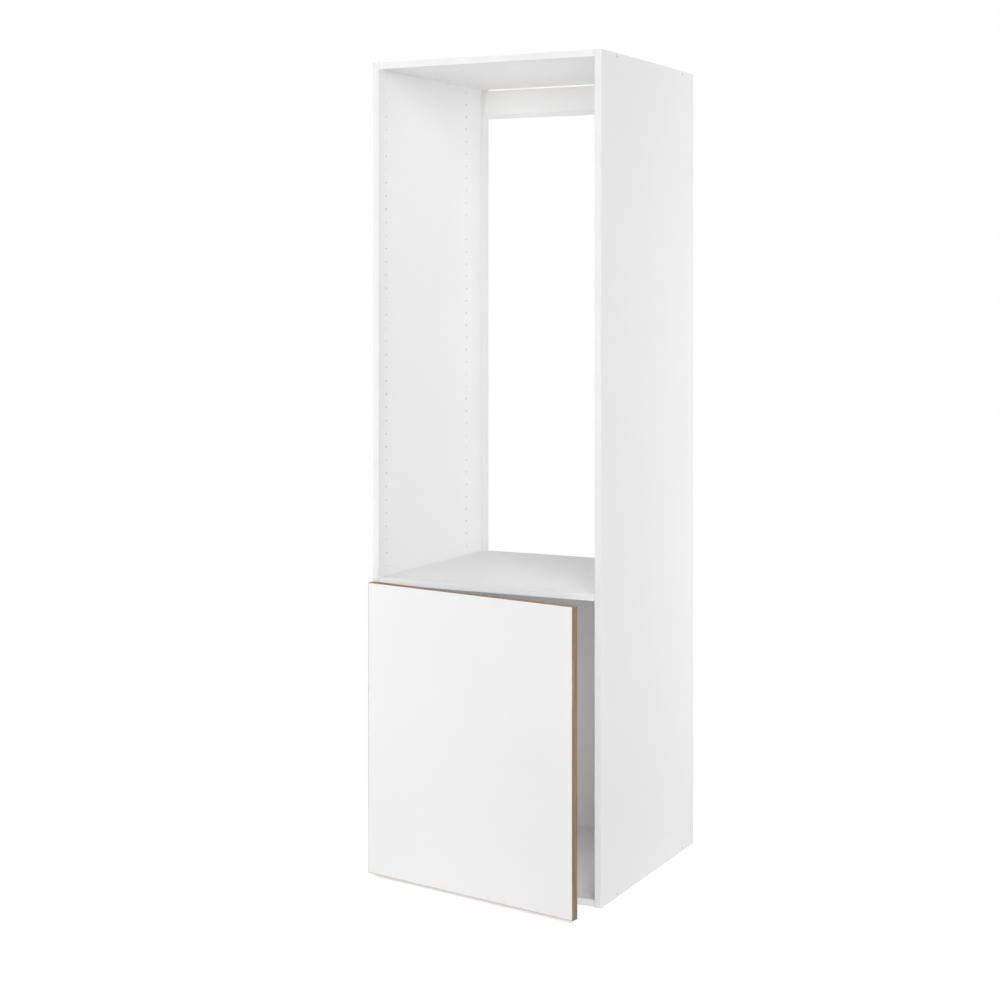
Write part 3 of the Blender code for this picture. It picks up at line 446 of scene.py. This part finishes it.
def cross_screw(radius, rim, crown, recess, shank, length):
    """A screw whose head has a cross recess, seated at height 0 with its head above.

    The top is a square grid. Where the larger of its two coordinates, far, is small the grid stays
    square, so the arms of the cross have straight sides; from there to the rim each square line is
    pulled onto a circle, by the factor far over the distance from the middle, blended in smoothly.
    The height is the rim's plus a shallow crown, less the recess, whose walls slope. The head's side,
    its underside and the shank are rings below the grid's own border."""
    arm_half, arm_end = 0.19, 0.58
    half = np.array([0.0, 0.12, arm_half, 0.34, 0.50, arm_end, 0.72, 0.87, 1.0])
    line = np.concatenate([-half[:0:-1], half])
    u, v = np.meshgrid(line, line, indexing="ij")
    far = np.maximum(abs(u), abs(v))
    blend = np.clip((far - arm_end) / 0.42, 0, 1)
    blend = blend**2 * (3 - 2 * blend)
    pull = 1 - blend + blend * far / np.maximum(np.hypot(u, v), 1e-9)
    x, y = u * pull, v * pull
    inside = np.clip((arm_end - far) / 0.08, 0, 1)
    arm = np.clip((arm_half - np.minimum(abs(u), abs(v))) / 0.07, 0, 1) * inside
    height = rim + crown * (1 - x**2 - y**2) - recess * arm * (1 - 0.5 * far)
    top = np.dstack([x * radius, y * radius, height]).reshape(-1, 3)
    count = len(line)
    index = np.arange(count**2).reshape(count, count)
    quads = np.stack([index[:-1, :-1], index[1:, :-1], index[1:, 1:], index[:-1, 1:]], -1)
    border = np.concatenate([index[0, :-1], index[:-1, -1], index[-1, :0:-1], index[:0:-1, 0]])
    turn = np.arctan2(top[border, 1], top[border, 0])
    neck = [(radius, 0.15 * rim), (0.97 * radius, 0.0)]
    stem = [(shank, 0.0), (shank, -0.93 * length), (0.7 * shank, -length)]
    side = rings(turn, neck + stem)
    below = count**2 + np.arange(side[..., 0].size).reshape(len(side), -1)
    rows = np.vstack([border, below])
    skirt = np.stack(
        [rows[:-1], np.roll(rows[:-1], -1, 1), np.roll(rows[1:], -1, 1), rows[1:]], -1
    )
    points = np.vstack([top, side.reshape(-1, 3), [[0.0, 0.0, -length]]])
    tip = np.full(len(turn), len(points) - 1)
    triangles = np.column_stack([rows[-1], np.roll(rows[-1], -1), tip])
    return outward(points, np.vstack([quads.reshape(-1, 4), skirt.reshape(-1, 4)]), triangles)


for side, sign in (("left", -1), ("right", 1)):
    for where, depth in CAM_PLACES.items():
        face = cross_screw(
            radius=0.0074, rim=0.0006, crown=0.0, recess=0.0022, shank=0.0071, length=0.0034
        )
        face = put_at(face, (sign * CAM_REACH, depth, SHELF_UNDERSIDE + CAM_SUNK), (0, 0, -1))
        name = f"cam_{side}_{where}"
        piece(f"turning_{name}", [face], zinc, "cabinet", name)
        dress(f"cam_bolt_{side}_{where}", zinc)
    for where in ("lower", "upper"):
        dress(f"dowel_rail_{side}_{where}", beech)


# The door: 20 mm chipboard faced with smooth white melamine, its four edges lipped with a 1 mm
# band printed as oak, whose grain runs along each edge. It stands ajar, turned by this much.
AJAR = math.radians(-10.2)
DOOR_WHITE = (241, 241, 241)
PALE_OAK, DARK_OAK = (160, 137, 106), (118, 94, 68)
OAK_FIGURE, OAK_RAY, OAK_PORE = (134, 110, 78), (176, 152, 118), (88, 68, 46)
OAK_ROUGHNESS = (0.46, 0.60)
PORE_DEPTH = -0.00005
OAK_BANDS = {"upright": (ALONG_Z, ("left", "right")), "level": (ALONG_X, ("bottom", "top"))}
dress("door_panel", melamine("white_melamine_door", DOOR_WHITE))


def oak_band(name, length_axis):
    """Oak lipping: broad soft streaks, dark pores and a few lighter rays, all drawn out along one axis.

    The pattern is turned back by the angle that the door stands at, so the axis is the shut door's."""
    material, tree = empty_tree(name)
    where = put(tree, "ShaderNodeTexCoord").outputs["Object"]
    turn = (0.0, 0.0, -AJAR)
    where = put(tree, "ShaderNodeMapping", {"Vector": where, "Rotation": turn}).outputs[0]
    stretch = tuple(0.03 if axis == length_axis else 1.0 for axis in range(3))
    streak = noise(tree, where, 240.0, 3.0, stretch)
    broad = ranged(tree, streak, 0.0, 1.0, 0.34, 0.66)
    figure = ranged(tree, noise(tree, where, 9.0, 2.0), 0.0, 0.35)
    ray = ranged(tree, noise(tree, where, 620.0, 1.0, stretch), 0.0, 0.3, 0.58, 0.70)
    pore = noise(tree, where, 1900.0, 2.0, tuple(share * 0.8 for share in stretch))
    dark = ranged(tree, pore, 0.0, 0.7, 0.56, 0.72)
    colour = blended(tree, broad, rgb(*PALE_OAK), rgb(*DARK_OAK))
    colour = blended(tree, figure, colour, rgb(*OAK_FIGURE))
    colour = blended(tree, ray, colour, rgb(*OAK_RAY))
    colour = blended(tree, dark, colour, rgb(*OAK_PORE))
    rough = ranged(tree, streak, *OAK_ROUGHNESS)
    shaded(tree, colour, rough, bumped(tree, pore, 0.5, PORE_DEPTH), Specular_IOR_Level=0.4)
    return material


for use, (length_axis, edges) in OAK_BANDS.items():
    oak = oak_band(f"oak_edge_band_{use}", length_axis)
    for edge in edges:
        dress(f"door_band_{edge}", oak)


# The bumpers: drops of clear soft plastic stuck to the back of the door, where it meets the
# front edge of the right side.
HINGE_AXIS = (-0.2914, -0.3025)
DOOR_BACK = -0.293
BUMPER_PLACE = 0.292
BUMPER_LEVELS = {"lower": 0.0265, "upper": 0.6825}
BUMPER_RADIUS, BUMPER_FOOT, BUMPER_DOME = 0.0045, 0.0003, 0.0022
BUMPER_PALE, BUMPER_HAZE = (232, 234, 235), (222, 226, 228)
BUMPER_ROUGHNESS = (0.16, 0.28)
HAZE_DEPTH = 0.00004
GLUE_LINE = 0.0002
soft, tree = empty_tree("clear_bumper")
haze = noise(tree, put(tree, "ShaderNodeTexCoord").outputs["Object"], 600.0, 3.0)
colour = blended(tree, ranged(tree, haze, 0.0, 1.0), rgb(*BUMPER_PALE), rgb(*BUMPER_HAZE))
rough = ranged(tree, haze, *BUMPER_ROUGHNESS)
bump = bumped(tree, haze, 0.2, HAZE_DEPTH)
shaded(tree, colour, rough, bump, IOR=1.49, Transmission_Weight=0.55)


def ajar(made):
    """Turns a skin of the shut door about the hinge axis, to where the door stands."""
    points, quads, triangles = made
    cos, sin = math.cos(AJAR), math.sin(AJAR)
    turn = np.array([[cos, sin, 0.0], [-sin, cos, 0.0], [0.0, 0.0, 1.0]])
    return (points - (*HINGE_AXIS, 0.0)) @ turn + (*HINGE_AXIS, 0.0), quads, triangles


# The drop's outline: a small bevel at its foot, and then a quarter of an ellipse.
climb = np.radians(np.arange(12, 88, 12))
dome = [(0.00415, 0.0), (BUMPER_RADIUS, BUMPER_FOOT)]
dome += zip(BUMPER_RADIUS * np.cos(climb), BUMPER_FOOT + BUMPER_DOME * np.sin(climb))
for where, level in BUMPER_LEVELS.items():
    drop = skin(rings(around(48), dome))
    drop = put_at(drop, (BUMPER_PLACE, DOOR_BACK + GLUE_LINE, level), (0, 1, 0))
    name = f"door_bumper_{where}"
    piece(f"soft_{name}", [ajar(drop)], soft, "door", name)


# The hinge cups: drawn from nickel-plated sheet, each with a rolled rim and two wings that are
# screwed to the back of the door. Two lugs in the cup hold the pin that the arm turns on.
CUP_MIDDLE = -0.2780
CUP_RADIUS = 0.0172
HINGE_LEVELS = {"lower": 0.112, "upper": 0.592}
WING_END, WING_NEAR, WING_FAR = 0.030, 0.006, 0.014
FLANGE_UNDER, FLANGE_TOP, WING_SINK = 0.0002, 0.0010, 0.0001
LUG_INNER, LUG_OUTER = 0.0046, 0.0078
LUG_RADIUS, LUG_FOOT, LUG_BEVEL = 0.0021, -0.0028, 0.0002
BOWL_INNER, BOWL_OUTER, BOWL_ROUND = 0.0143, 0.0152, 0.0020
CUP_SCREW_OFFSET, CUP_SCREW_REACH, CUP_SCREW_SEAT = 0.006, 0.024, 0.0009
nickel = plated("nickel_plated_steel", (216, 213, 207), (0.20, 0.34))


def least(*ways):
    """A smooth least of distances: the sum of their powers of -12, to the power of -1/12."""
    return sum(way**-12.0 for way in ways) ** (-1 / 12)


def flange():
    """The wings and the ring between them, as rings round the cup's middle.

    Along each direction the outer edge lies at the smooth least of the ways to the four sides of a
    plate 20 mm by 60 mm, set 4 mm off the cup's middle, and never inside the cup's rim. The rows go
    over the face, round the outer edge and back underneath; the wings sink a little below the ring."""
    step = around(120)
    turn = np.arctan2(WING_END * np.sin(step), 0.019 * np.cos(step))
    # Across the door's back this frame's first axis points to the hinge side, so the wings' own
    # offset is taken with its sign turned.
    cos, sin = -np.cos(turn), np.sin(turn)
    side = np.where(cos > 0, WING_FAR, WING_NEAR) / np.maximum(abs(cos), 1e-6)
    end = WING_END / np.maximum(abs(sin), 1e-6)
    edge = np.maximum(least(side, end), CUP_RADIUS + 0.0002)
    sink = WING_SINK * np.clip((edge - CUP_RADIUS) / 0.004, 0, 1)
    inner = CUP_RADIUS - 0.0007
    bevel = np.minimum(0.0004, 0.3 * (edge - inner))
    rows = [
        (inner, FLANGE_UNDER),
        (inner, 0.0008),
        (inner + 0.25 * (edge - inner), FLANGE_TOP),
        (inner + 0.50 * (edge - inner), FLANGE_TOP - sink),
        (edge - bevel, FLANGE_TOP - sink),
        (edge - 0.0001, 0.0009 - sink),
        (edge, 0.0007 - sink),
        (edge, FLANGE_UNDER),
    ]
    return skin(rings(turn, rows), "joined")


def lug(low, high):
    """A lug whose top is round about the pin: an outline carried from one level to the other."""
    turn = np.radians(np.linspace(0, 180, 13))
    arch = np.column_stack([LUG_RADIUS * np.cos(turn), LUG_RADIUS * np.sin(turn)])
    foot = np.column_stack([(-LUG_RADIUS, -0.0006, 0.0010, 0.0024), np.full(4, LUG_FOOT)])
    outline = np.vstack([arch, foot])
    inset = np.array([0.90, 1.0, 1.0, 0.90])
    levels = np.array([low, low + LUG_BEVEL, high - LUG_BEVEL, high])
    x = HINGE_AXIS[0] + inset[:, None] * outline[:, 0]
    y = HINGE_AXIS[1] + inset[:, None] * outline[:, 1]
    return skin(np.dstack([x, y, np.repeat(levels[:, None], len(outline), 1)]))


# The bowl's outline: out along the inner floor, up the inner wall, over the rolled rim, and down the
# outer wall to the underside of the floor, with a quarter circle at both corners of the floor.
quarter = np.radians([0.0, 30.0, 60.0, 90.0])
away, rise = BOWL_ROUND * np.sin(quarter), BOWL_ROUND * np.cos(quarter)
bowl = [(0.006, -0.0119)]
bowl += zip(BOWL_INNER + away, -0.0099 - rise)
bowl += [(0.0163, 0.0005), (0.0164, 0.0008), (0.0167, 0.0010), (0.0170, 0.0009), (CUP_RADIUS, 0.0007)]
bowl += zip(BOWL_OUTER + rise, -0.0109 - away)
bowl += [(0.006, -0.0129)]
for which, level in HINGE_LEVELS.items():
    middle = (CUP_MIDDLE, DOOR_BACK, level)
    cup = put_at(skin(rings(around(64), bowl)), middle, (0, 1, 0))
    wings = put_at(flange(), middle, (0, 1, 0))
    lugs = [lug(level + LUG_INNER, level + LUG_OUTER), lug(level - LUG_OUTER, level - LUG_INNER)]
    skins = [ajar(made) for made in (cup, wings, *lugs)]
    name = f"hinge_cup_{which}"
    piece(f"drawn_{name}", skins, nickel, "door", name)
    dress(f"hinge_pin_{which}", nickel)
    for end, sign in (("lower", -1), ("upper", 1)):
        seat = (
            CUP_MIDDLE + CUP_SCREW_OFFSET,
            DOOR_BACK + CUP_SCREW_SEAT,
            level + sign * CUP_SCREW_REACH,
        )
        screw = cross_screw(
            radius=0.0034, rim=0.0008, crown=0.0005, recess=0.0010, shank=0.0015, length=0.0130
        )
        screw = ajar(put_at(screw, seat, (0, 1, 0)))
        name = f"cup_screw_{which}_{end}"
        piece(f"cross_{name}", [screw], nickel, "door", name)


# The hinge arms: pressed from one strip, a channel over the mounting plate that narrows to a neck,
# bends forward into the cup and is curled into an eye round the pin.
CHANNEL_MIDDLE, NECK_MIDDLE = -0.2750, -0.2793
ARM_END, EYE_SIDE = -0.2240, -0.2898
ARM_BEND = 0.002
CHANNEL_HALF, NECK_FALL = 0.0075, 0.0035
SIDE_DEPTH, SIDE_FALL, SIDE_METAL = 0.0052, 0.0048, 0.0015
STRIP_HALF, STRIP_ROUND, INNER_DROP = 0.0010, 0.0012, 0.0003
SLOT_DEPTH, RIB_HEIGHT = -0.0006, 0.0005
EYE_HALF = 0.0040
ARM_SCREW_SEAT = -0.2738
ARM_SCREWS = {"adjusting": -0.26774, "fixing": -0.23804}


def bent(corners, radius, count):
    """Stations along a path with round corners, as (places, directions).

    Each corner is cut back by the radius times the tangent of half its turn, and a circle of that
    radius carries the direction round. The stations are then spread evenly by distance."""
    corners = np.array(corners)
    before, after = corners[1:-1] - corners[:-2], corners[2:] - corners[1:-1]
    before /= np.linalg.norm(before, axis=1, keepdims=True)
    after /= np.linalg.norm(after, axis=1, keepdims=True)
    turn = np.arctan2(
        before[:, 0] * after[:, 1] - before[:, 1] * after[:, 0], (before * after).sum(1)
    )
    begin = corners[1:-1] - before * (radius * np.tan(abs(turn) / 2))[:, None]
    side = np.sign(turn)[:, None] * np.column_stack([-before[:, 1], before[:, 0]])
    part = np.linspace(0, 1, 9)[None, :, None]
    swept = turn[:, None, None] * part
    rise = radius * (1 - np.cos(swept)) * side[:, None]
    run = radius * np.sin(abs(swept)) * before[:, None]
    path = np.vstack([corners[:1], (begin[:, None] + rise + run).reshape(-1, 2), corners[-1:]])
    gone = np.concatenate([[0.0], np.cumsum(np.linalg.norm(np.diff(path, axis=0), axis=1))])
    even = np.linspace(0, gone[-1], count)
    places = np.column_stack([np.interp(even, gone, path[:, axis]) for axis in range(2)])
    directions = np.gradient(places, axis=0)
    return places, directions / np.linalg.norm(directions, axis=1, keepdims=True)


def between(values, start, stop, slope):
    """1 between start and stop and 0 outside, with a straight slope of that length inside each end."""
    return np.clip((values - start) / slope, 0, 1) * np.clip((stop - values) / slope, 0, 1)


def pressed_arm(level):
    """The arm, as a section carried along its path.

    The section is a strip bent down at both sides: half its width falls from 7.5 mm over the channel
    to 4 mm at the neck, and its sides from 5.2 mm deep to a curled edge. Between the two screws a slot
    is pressed into the top, deepest along the middle and gone at its ends. A rib rises at the bend."""
    corners = [
        (CHANNEL_MIDDLE, ARM_END),
        (CHANNEL_MIDDLE, -0.2780),
        (NECK_MIDDLE, -0.2860),
        (NECK_MIDDLE, HINGE_AXIS[1]),
        (EYE_SIDE, HINGE_AXIS[1]),
    ]
    places, directions = bent(corners, ARM_BEND, 110)
    depth = -places[:, 1]
    narrow = np.clip((depth - 0.2715) / 0.0125, 0, 1)
    narrow = narrow**2 * (3 - 2 * narrow)
    half = (CHANNEL_HALF - NECK_FALL * narrow)[:, None]
    wall = SIDE_DEPTH - SIDE_FALL * np.clip(narrow * 1.15, 0, 1)
    slot = between(depth, 0.2455, 0.2615, 0.004)[:, None]
    rib = between(depth, 0.2760, 0.2880, 0.003)[:, None]
    corner = np.radians(np.linspace(0, 90, 5))
    # One half of the outer line and of the inner one, from the middle of the top to the foot of the
    # side: x leads out from the middle, and y up from the middle of the metal's thickness.
    top = np.repeat([[0.0, 0.0016, 0.0022]], len(places), 0)
    press = np.array([1.0, 1.0, 0.0]) * slot * SLOT_DEPTH
    lift = np.array([1.0, 0.6, 0.0]) * rib * RIB_HEIGHT
    bend_x = (half - STRIP_ROUND) + STRIP_ROUND * np.sin(corner)
    bend_y = STRIP_HALF - STRIP_ROUND * (1 - np.cos(corner)) + 0 * half
    under_y = -STRIP_HALF - INNER_DROP * (1 - np.cos(corner)) + 0 * half
    foot_y = np.minimum(-0.0008 - wall, -0.0011)[:, None]
    outer_x = np.hstack([top, bend_x, half])
    outer_y = np.hstack([STRIP_HALF + press + lift, bend_y, foot_y])
    inner_x = np.hstack([top, np.repeat(half - SIDE_METAL, len(corner) + 1, 1)])
    inner_y = np.hstack([-STRIP_HALF + press + lift, under_y, foot_y])
    right = np.dstack([outer_x, outer_y])
    under = np.dstack([inner_x, inner_y])
    flip = np.array([-1.0, 1.0])
    line = np.concatenate([(right * flip)[:, :0:-1], right], 1)
    back = np.concatenate([(under * flip)[:, :0:-1], under], 1)[:, ::-1]
    section = np.concatenate([line, back], 1)
    out = np.column_stack([-directions[:, 1], directions[:, 0]])
    flat = places[:, None] + section[..., 1:2] * out[:, None]
    return skin(np.dstack([flat, level + section[..., 0]]), "pairs")


def eye(level):
    """The curled end of the arm: a short tube round the pin with rounded ends."""
    profile = [(0.00125, 0.0038), (0.0014, EYE_HALF), (0.0019, EYE_HALF), (0.0021, 0.0038)]
    below = [(radius, -height) for radius, height in reversed(profile)]
    tube = rings(around(32), [below[-1], *profile, *below[:-1]])
    return skin(tube + (*HINGE_AXIS, level), "joined")


for which, level in HINGE_LEVELS.items():
    name = f"hinge_arm_{which}"
    skins = [pressed_arm(level), eye(level)]
    piece(f"pressed_{name}", skins, nickel, "cabinet", name)
    for use, depth in ARM_SCREWS.items():
        screw = cross_screw(
            radius=0.0035, rim=0.0011, crown=0.0007, recess=0.0013, shank=0.0019, length=0.0068
        )
        screw = put_at(screw, (ARM_SCREW_SEAT, depth, level), (1, 0, 0))
        name = f"{use}_screw_{which}"
        piece(f"cross_{name}", [screw], nickel, "cabinet", name)


# The mounting plates: pressed crosses screwed into two system holes of the left side, with a rib
# that fills the arm's channel.
FRONT_COLUMN = -0.253
PLATE_FOOT, RIB_FOOT, RIB_PLACE = -0.2838, -0.2836, -0.251
PLATE_SCREW_SEAT, PLATE_SCREW_REACH = -0.2813, 0.016


def pressed_plate(reach, length, thickness):
    """A flat plate with round corners and edges, as rings round its middle.

    Along each direction its edge lies at the smooth least of the ways to its four sides. The rows go
    out over the face, round the edge and back underneath."""
    step = around(96)
    turn = np.arctan2(length * np.sin(step), reach * np.cos(step))
    side = reach / np.maximum(abs(np.cos(turn)), 1e-6)
    end = length / np.maximum(abs(np.sin(turn)), 1e-6)
    edge = least(side, end)
    rows = [
        (0.4 * edge, thickness),
        (edge - 0.0008, thickness),
        (edge - 0.0003, thickness - 0.0002),
        (edge, thickness - 0.0008),
        (edge, 0.0),
        (0.4 * edge, 0.0),
    ]
    return skin(rings(turn, rows))


for which, level in HINGE_LEVELS.items():
    cross = pressed_plate(reach=0.006, length=0.024, thickness=0.0024)
    cross = put_at(cross, (PLATE_FOOT, FRONT_COLUMN, level), (1, 0, 0))
    rib = pressed_plate(reach=0.0248, length=0.0054, thickness=0.0073)
    rib = put_at(rib, (RIB_FOOT, RIB_PLACE, level), (1, 0, 0))
    name = f"hinge_plate_{which}"
    piece(f"pressed_{name}", [cross, rib], nickel, "cabinet", name)
    for end, sign in (("lower", -1), ("upper", 1)):
        screw = cross_screw(
            radius=0.0037, rim=0.0009, crown=0.0007, recess=0.0012, shank=0.0024, length=0.0135
        )
        seat = (PLATE_SCREW_SEAT, FRONT_COLUMN, level + sign * PLATE_SCREW_REACH)
        screw = put_at(screw, seat, (1, 0, 0))
        name = f"plate_screw_{which}_{end}"
        piece(f"cross_{name}", [screw], nickel, "cabinet", name)


# The camera stands in front and to the right and looks level, 1.4 m above the floor. Its place and
# lens were fitted to the photo. The picture is shifted down, so upright edges stay parallel.
camera = bpy.data.objects.new("camera", bpy.data.cameras.new("camera"))
camera.location = (2.0673114, -4.3005257, 1.4043620)
camera.rotation_euler = (math.radians(90.0), 0.0, math.radians(26.77875))
camera.data.sensor_width = 36.0
camera.data.lens = 69.434355
camera.data.shift_y = -0.2101215
camera.data.clip_start = 0.05
camera.data.clip_end = 200.0
bpy.context.scene.collection.objects.link(camera)
bpy.context.scene.camera = camera


# The floor: a plain pale studio floor. A camera sees it lifted almost to white round the object,
# where only the object's own shadow shows on it, and white from there on.
FLOOR_HALF, FLOOR_LEVEL = 60.0, -0.0005
SHADOW_NEAR, SHADOW_FAR = 0.45, 0.95
FLOOR_GREY, FLOOR_PALE = (232, 232, 232), (235, 235, 235)
WHITE = (1.0, 1.0, 1.0, 1.0)


def seen(tree):
    """1 for rays that carry the picture, straight, mirrored or through plastic, and 0 for others."""
    ray = put(tree, "ShaderNodeLightPath").outputs
    indirect = maths(tree, "MAXIMUM", ray["Is Glossy Ray"], ray["Is Transmission Ray"])
    return maths(tree, "MAXIMUM", ray["Is Camera Ray"], indirect)


floor = bpy.data.meshes.new("floor")
corner = np.array([[-1, -1], [1, -1], [1, 1], [-1, 1]]) * FLOOR_HALF
corner = np.column_stack([corner, np.full(4, FLOOR_LEVEL)])
floor.from_pydata(corner.tolist(), [], [(0, 1, 2, 3)])
floor = bpy.data.objects.new("floor", floor)
bpy.context.scene.collection.objects.link(floor)
pale, tree = empty_tree("pale_floor")
where = put(tree, "ShaderNodeTexCoord").outputs["Object"]
colour = blended(tree, noise(tree, where, 35.0, 3.0), rgb(*FLOOR_GREY), rgb(*FLOOR_PALE))
matt = put(tree, "ShaderNodeBsdfDiffuse", {"Color": colour})
lift = put(tree, "ShaderNodeEmission", {"Color": WHITE, "Strength": 0.58})
beyond = put(tree, "ShaderNodeEmission", {"Color": WHITE, "Strength": 1.0})
away = put(tree, "ShaderNodeVectorMath", {0: where}, operation="LENGTH").outputs["Value"]
away = ranged(tree, away, 0.0, 1.0, SHADOW_NEAR, SHADOW_FAR)
near = put(tree, "ShaderNodeAddShader", {0: matt.outputs[0], 1: lift.outputs[0]})
shown = put(tree, "ShaderNodeMixShader", {0: away, 1: near.outputs[0], 2: beyond.outputs[0]})
ends = put(tree, "ShaderNodeMixShader", {0: seen(tree), 1: matt.outputs[0], 2: shown.outputs[0]})
put(tree, "ShaderNodeOutputMaterial", {"Surface": ends.outputs[0]})
floor.data.materials.append(pale)


# The room: an even white surround, which cameras and reflections see. The lamps alone give the light.
world = bpy.data.worlds.new("studio")
world.use_nodes = True
world.node_tree.nodes.clear()
tree = world.node_tree
white = put(tree, "ShaderNodeBackground", {"Color": WHITE, "Strength": seen(tree)})
put(tree, "ShaderNodeOutputWorld", {"Surface": white.outputs[0]})
bpy.context.scene.world = world
bpy.context.scene.view_settings.view_transform = "Standard"


# The lamps: large soft boxes in front, at both sides and above, soft strips close to the two outer
# sides, and two weak narrow ones on the top and the back. The small ones inside stand in for light
# that the white boards pass about between them more often than the renderer follows it.


def softbox(name, place, aim, width, height, watts, mirrored=False, spread=180.0):
    """A rectangular lamp at a place, turned to face a point, that shines over a spread in degrees.

    Only a mirrored one shows in reflections."""
    lamp = bpy.data.lights.new(name, "AREA")
    lamp.shape = "RECTANGLE"
    lamp.size, lamp.size_y, lamp.energy = width, height, watts
    lamp.spread = math.radians(spread)
    lamp = bpy.data.objects.new(name, lamp)
    away = np.array(place) - np.array(aim)
    lamp.location = place
    lamp.rotation_euler = (
        math.atan2(math.hypot(away[0], away[1]), away[2]),
        0.0,
        math.atan2(away[1], away[0]) + math.pi / 2,
    )
    lamp.visible_camera = False
    lamp.visible_glossy = mirrored
    bpy.context.scene.collection.objects.link(lamp)


softbox("lamp_key", (3.5, -4.5, 3.0), (0.0, 0.0, 1.0), 2.5, 2.5, 127.0, True)
softbox("lamp_low", (3.5, -4.5, 1.3), (0.0, 0.0, 1.2), 2.5, 2.0, 64.8)
softbox("lamp_front", (2.5, -5.5, 1.9), (0.0, 0.0, 1.2), 5.0, 3.6, 44.5)
softbox("lamp_left", (-5.0, 0.0, 1.6), (0.0, 0.0, 1.0), 3.0, 3.0, 130.0, True)
softbox("lamp_right", (5.0, 0.5, 1.6), (0.3, 0.0, 1.0), 3.0, 3.0, 23.5, True)
softbox("lamp_top", (0.0, -1.0, 5.0), (0.0, -0.2, 1.0), 3.0, 3.0, 51.9, True)
softbox("strip_left", (-0.9, -1.1, 1.2), (-0.2, -0.3, 1.2), 0.6, 2.4, 6.2)
softbox("strip_right", (1.0, 0.7, 1.2), (0.3, 0.2, 1.2), 0.6, 2.4, 6.7)
softbox("fill_niche", (0.0, -0.28, 1.3), (0.0, 1.0, 1.3), 0.5, 1.1, 0.415)
softbox("fill_compartment", (0.0, -0.262, 0.36), (0.0, 1.0, 0.36), 0.5, 0.6, 0.245)
softbox("fill_bottom", (0.26, -0.05, 0.36), (-1.0, -0.05, 0.36), 0.4, 0.6, 0.236)
softbox("fill_rail", (0.0, 0.05, 1.89), (0.0, 1.0, 1.70), 0.5, 0.06, 0.045, spread=80.0)
softbox("fill_under_top", (0.0, -0.02, 1.0), (0.0, -0.02, 2.0), 0.45, 0.4, 0.097, spread=50.0)
softbox("lamp_above", (0.0, 0.0, 3.2), (0.0, 0.0, 0.0), 0.5, 0.5, 0.9, spread=50.0)
softbox("lamp_rear", (0.0, 4.5, 1.0), (0.0, 0.0, 1.0), 1.2, 2.4, 8.0, spread=25.0)
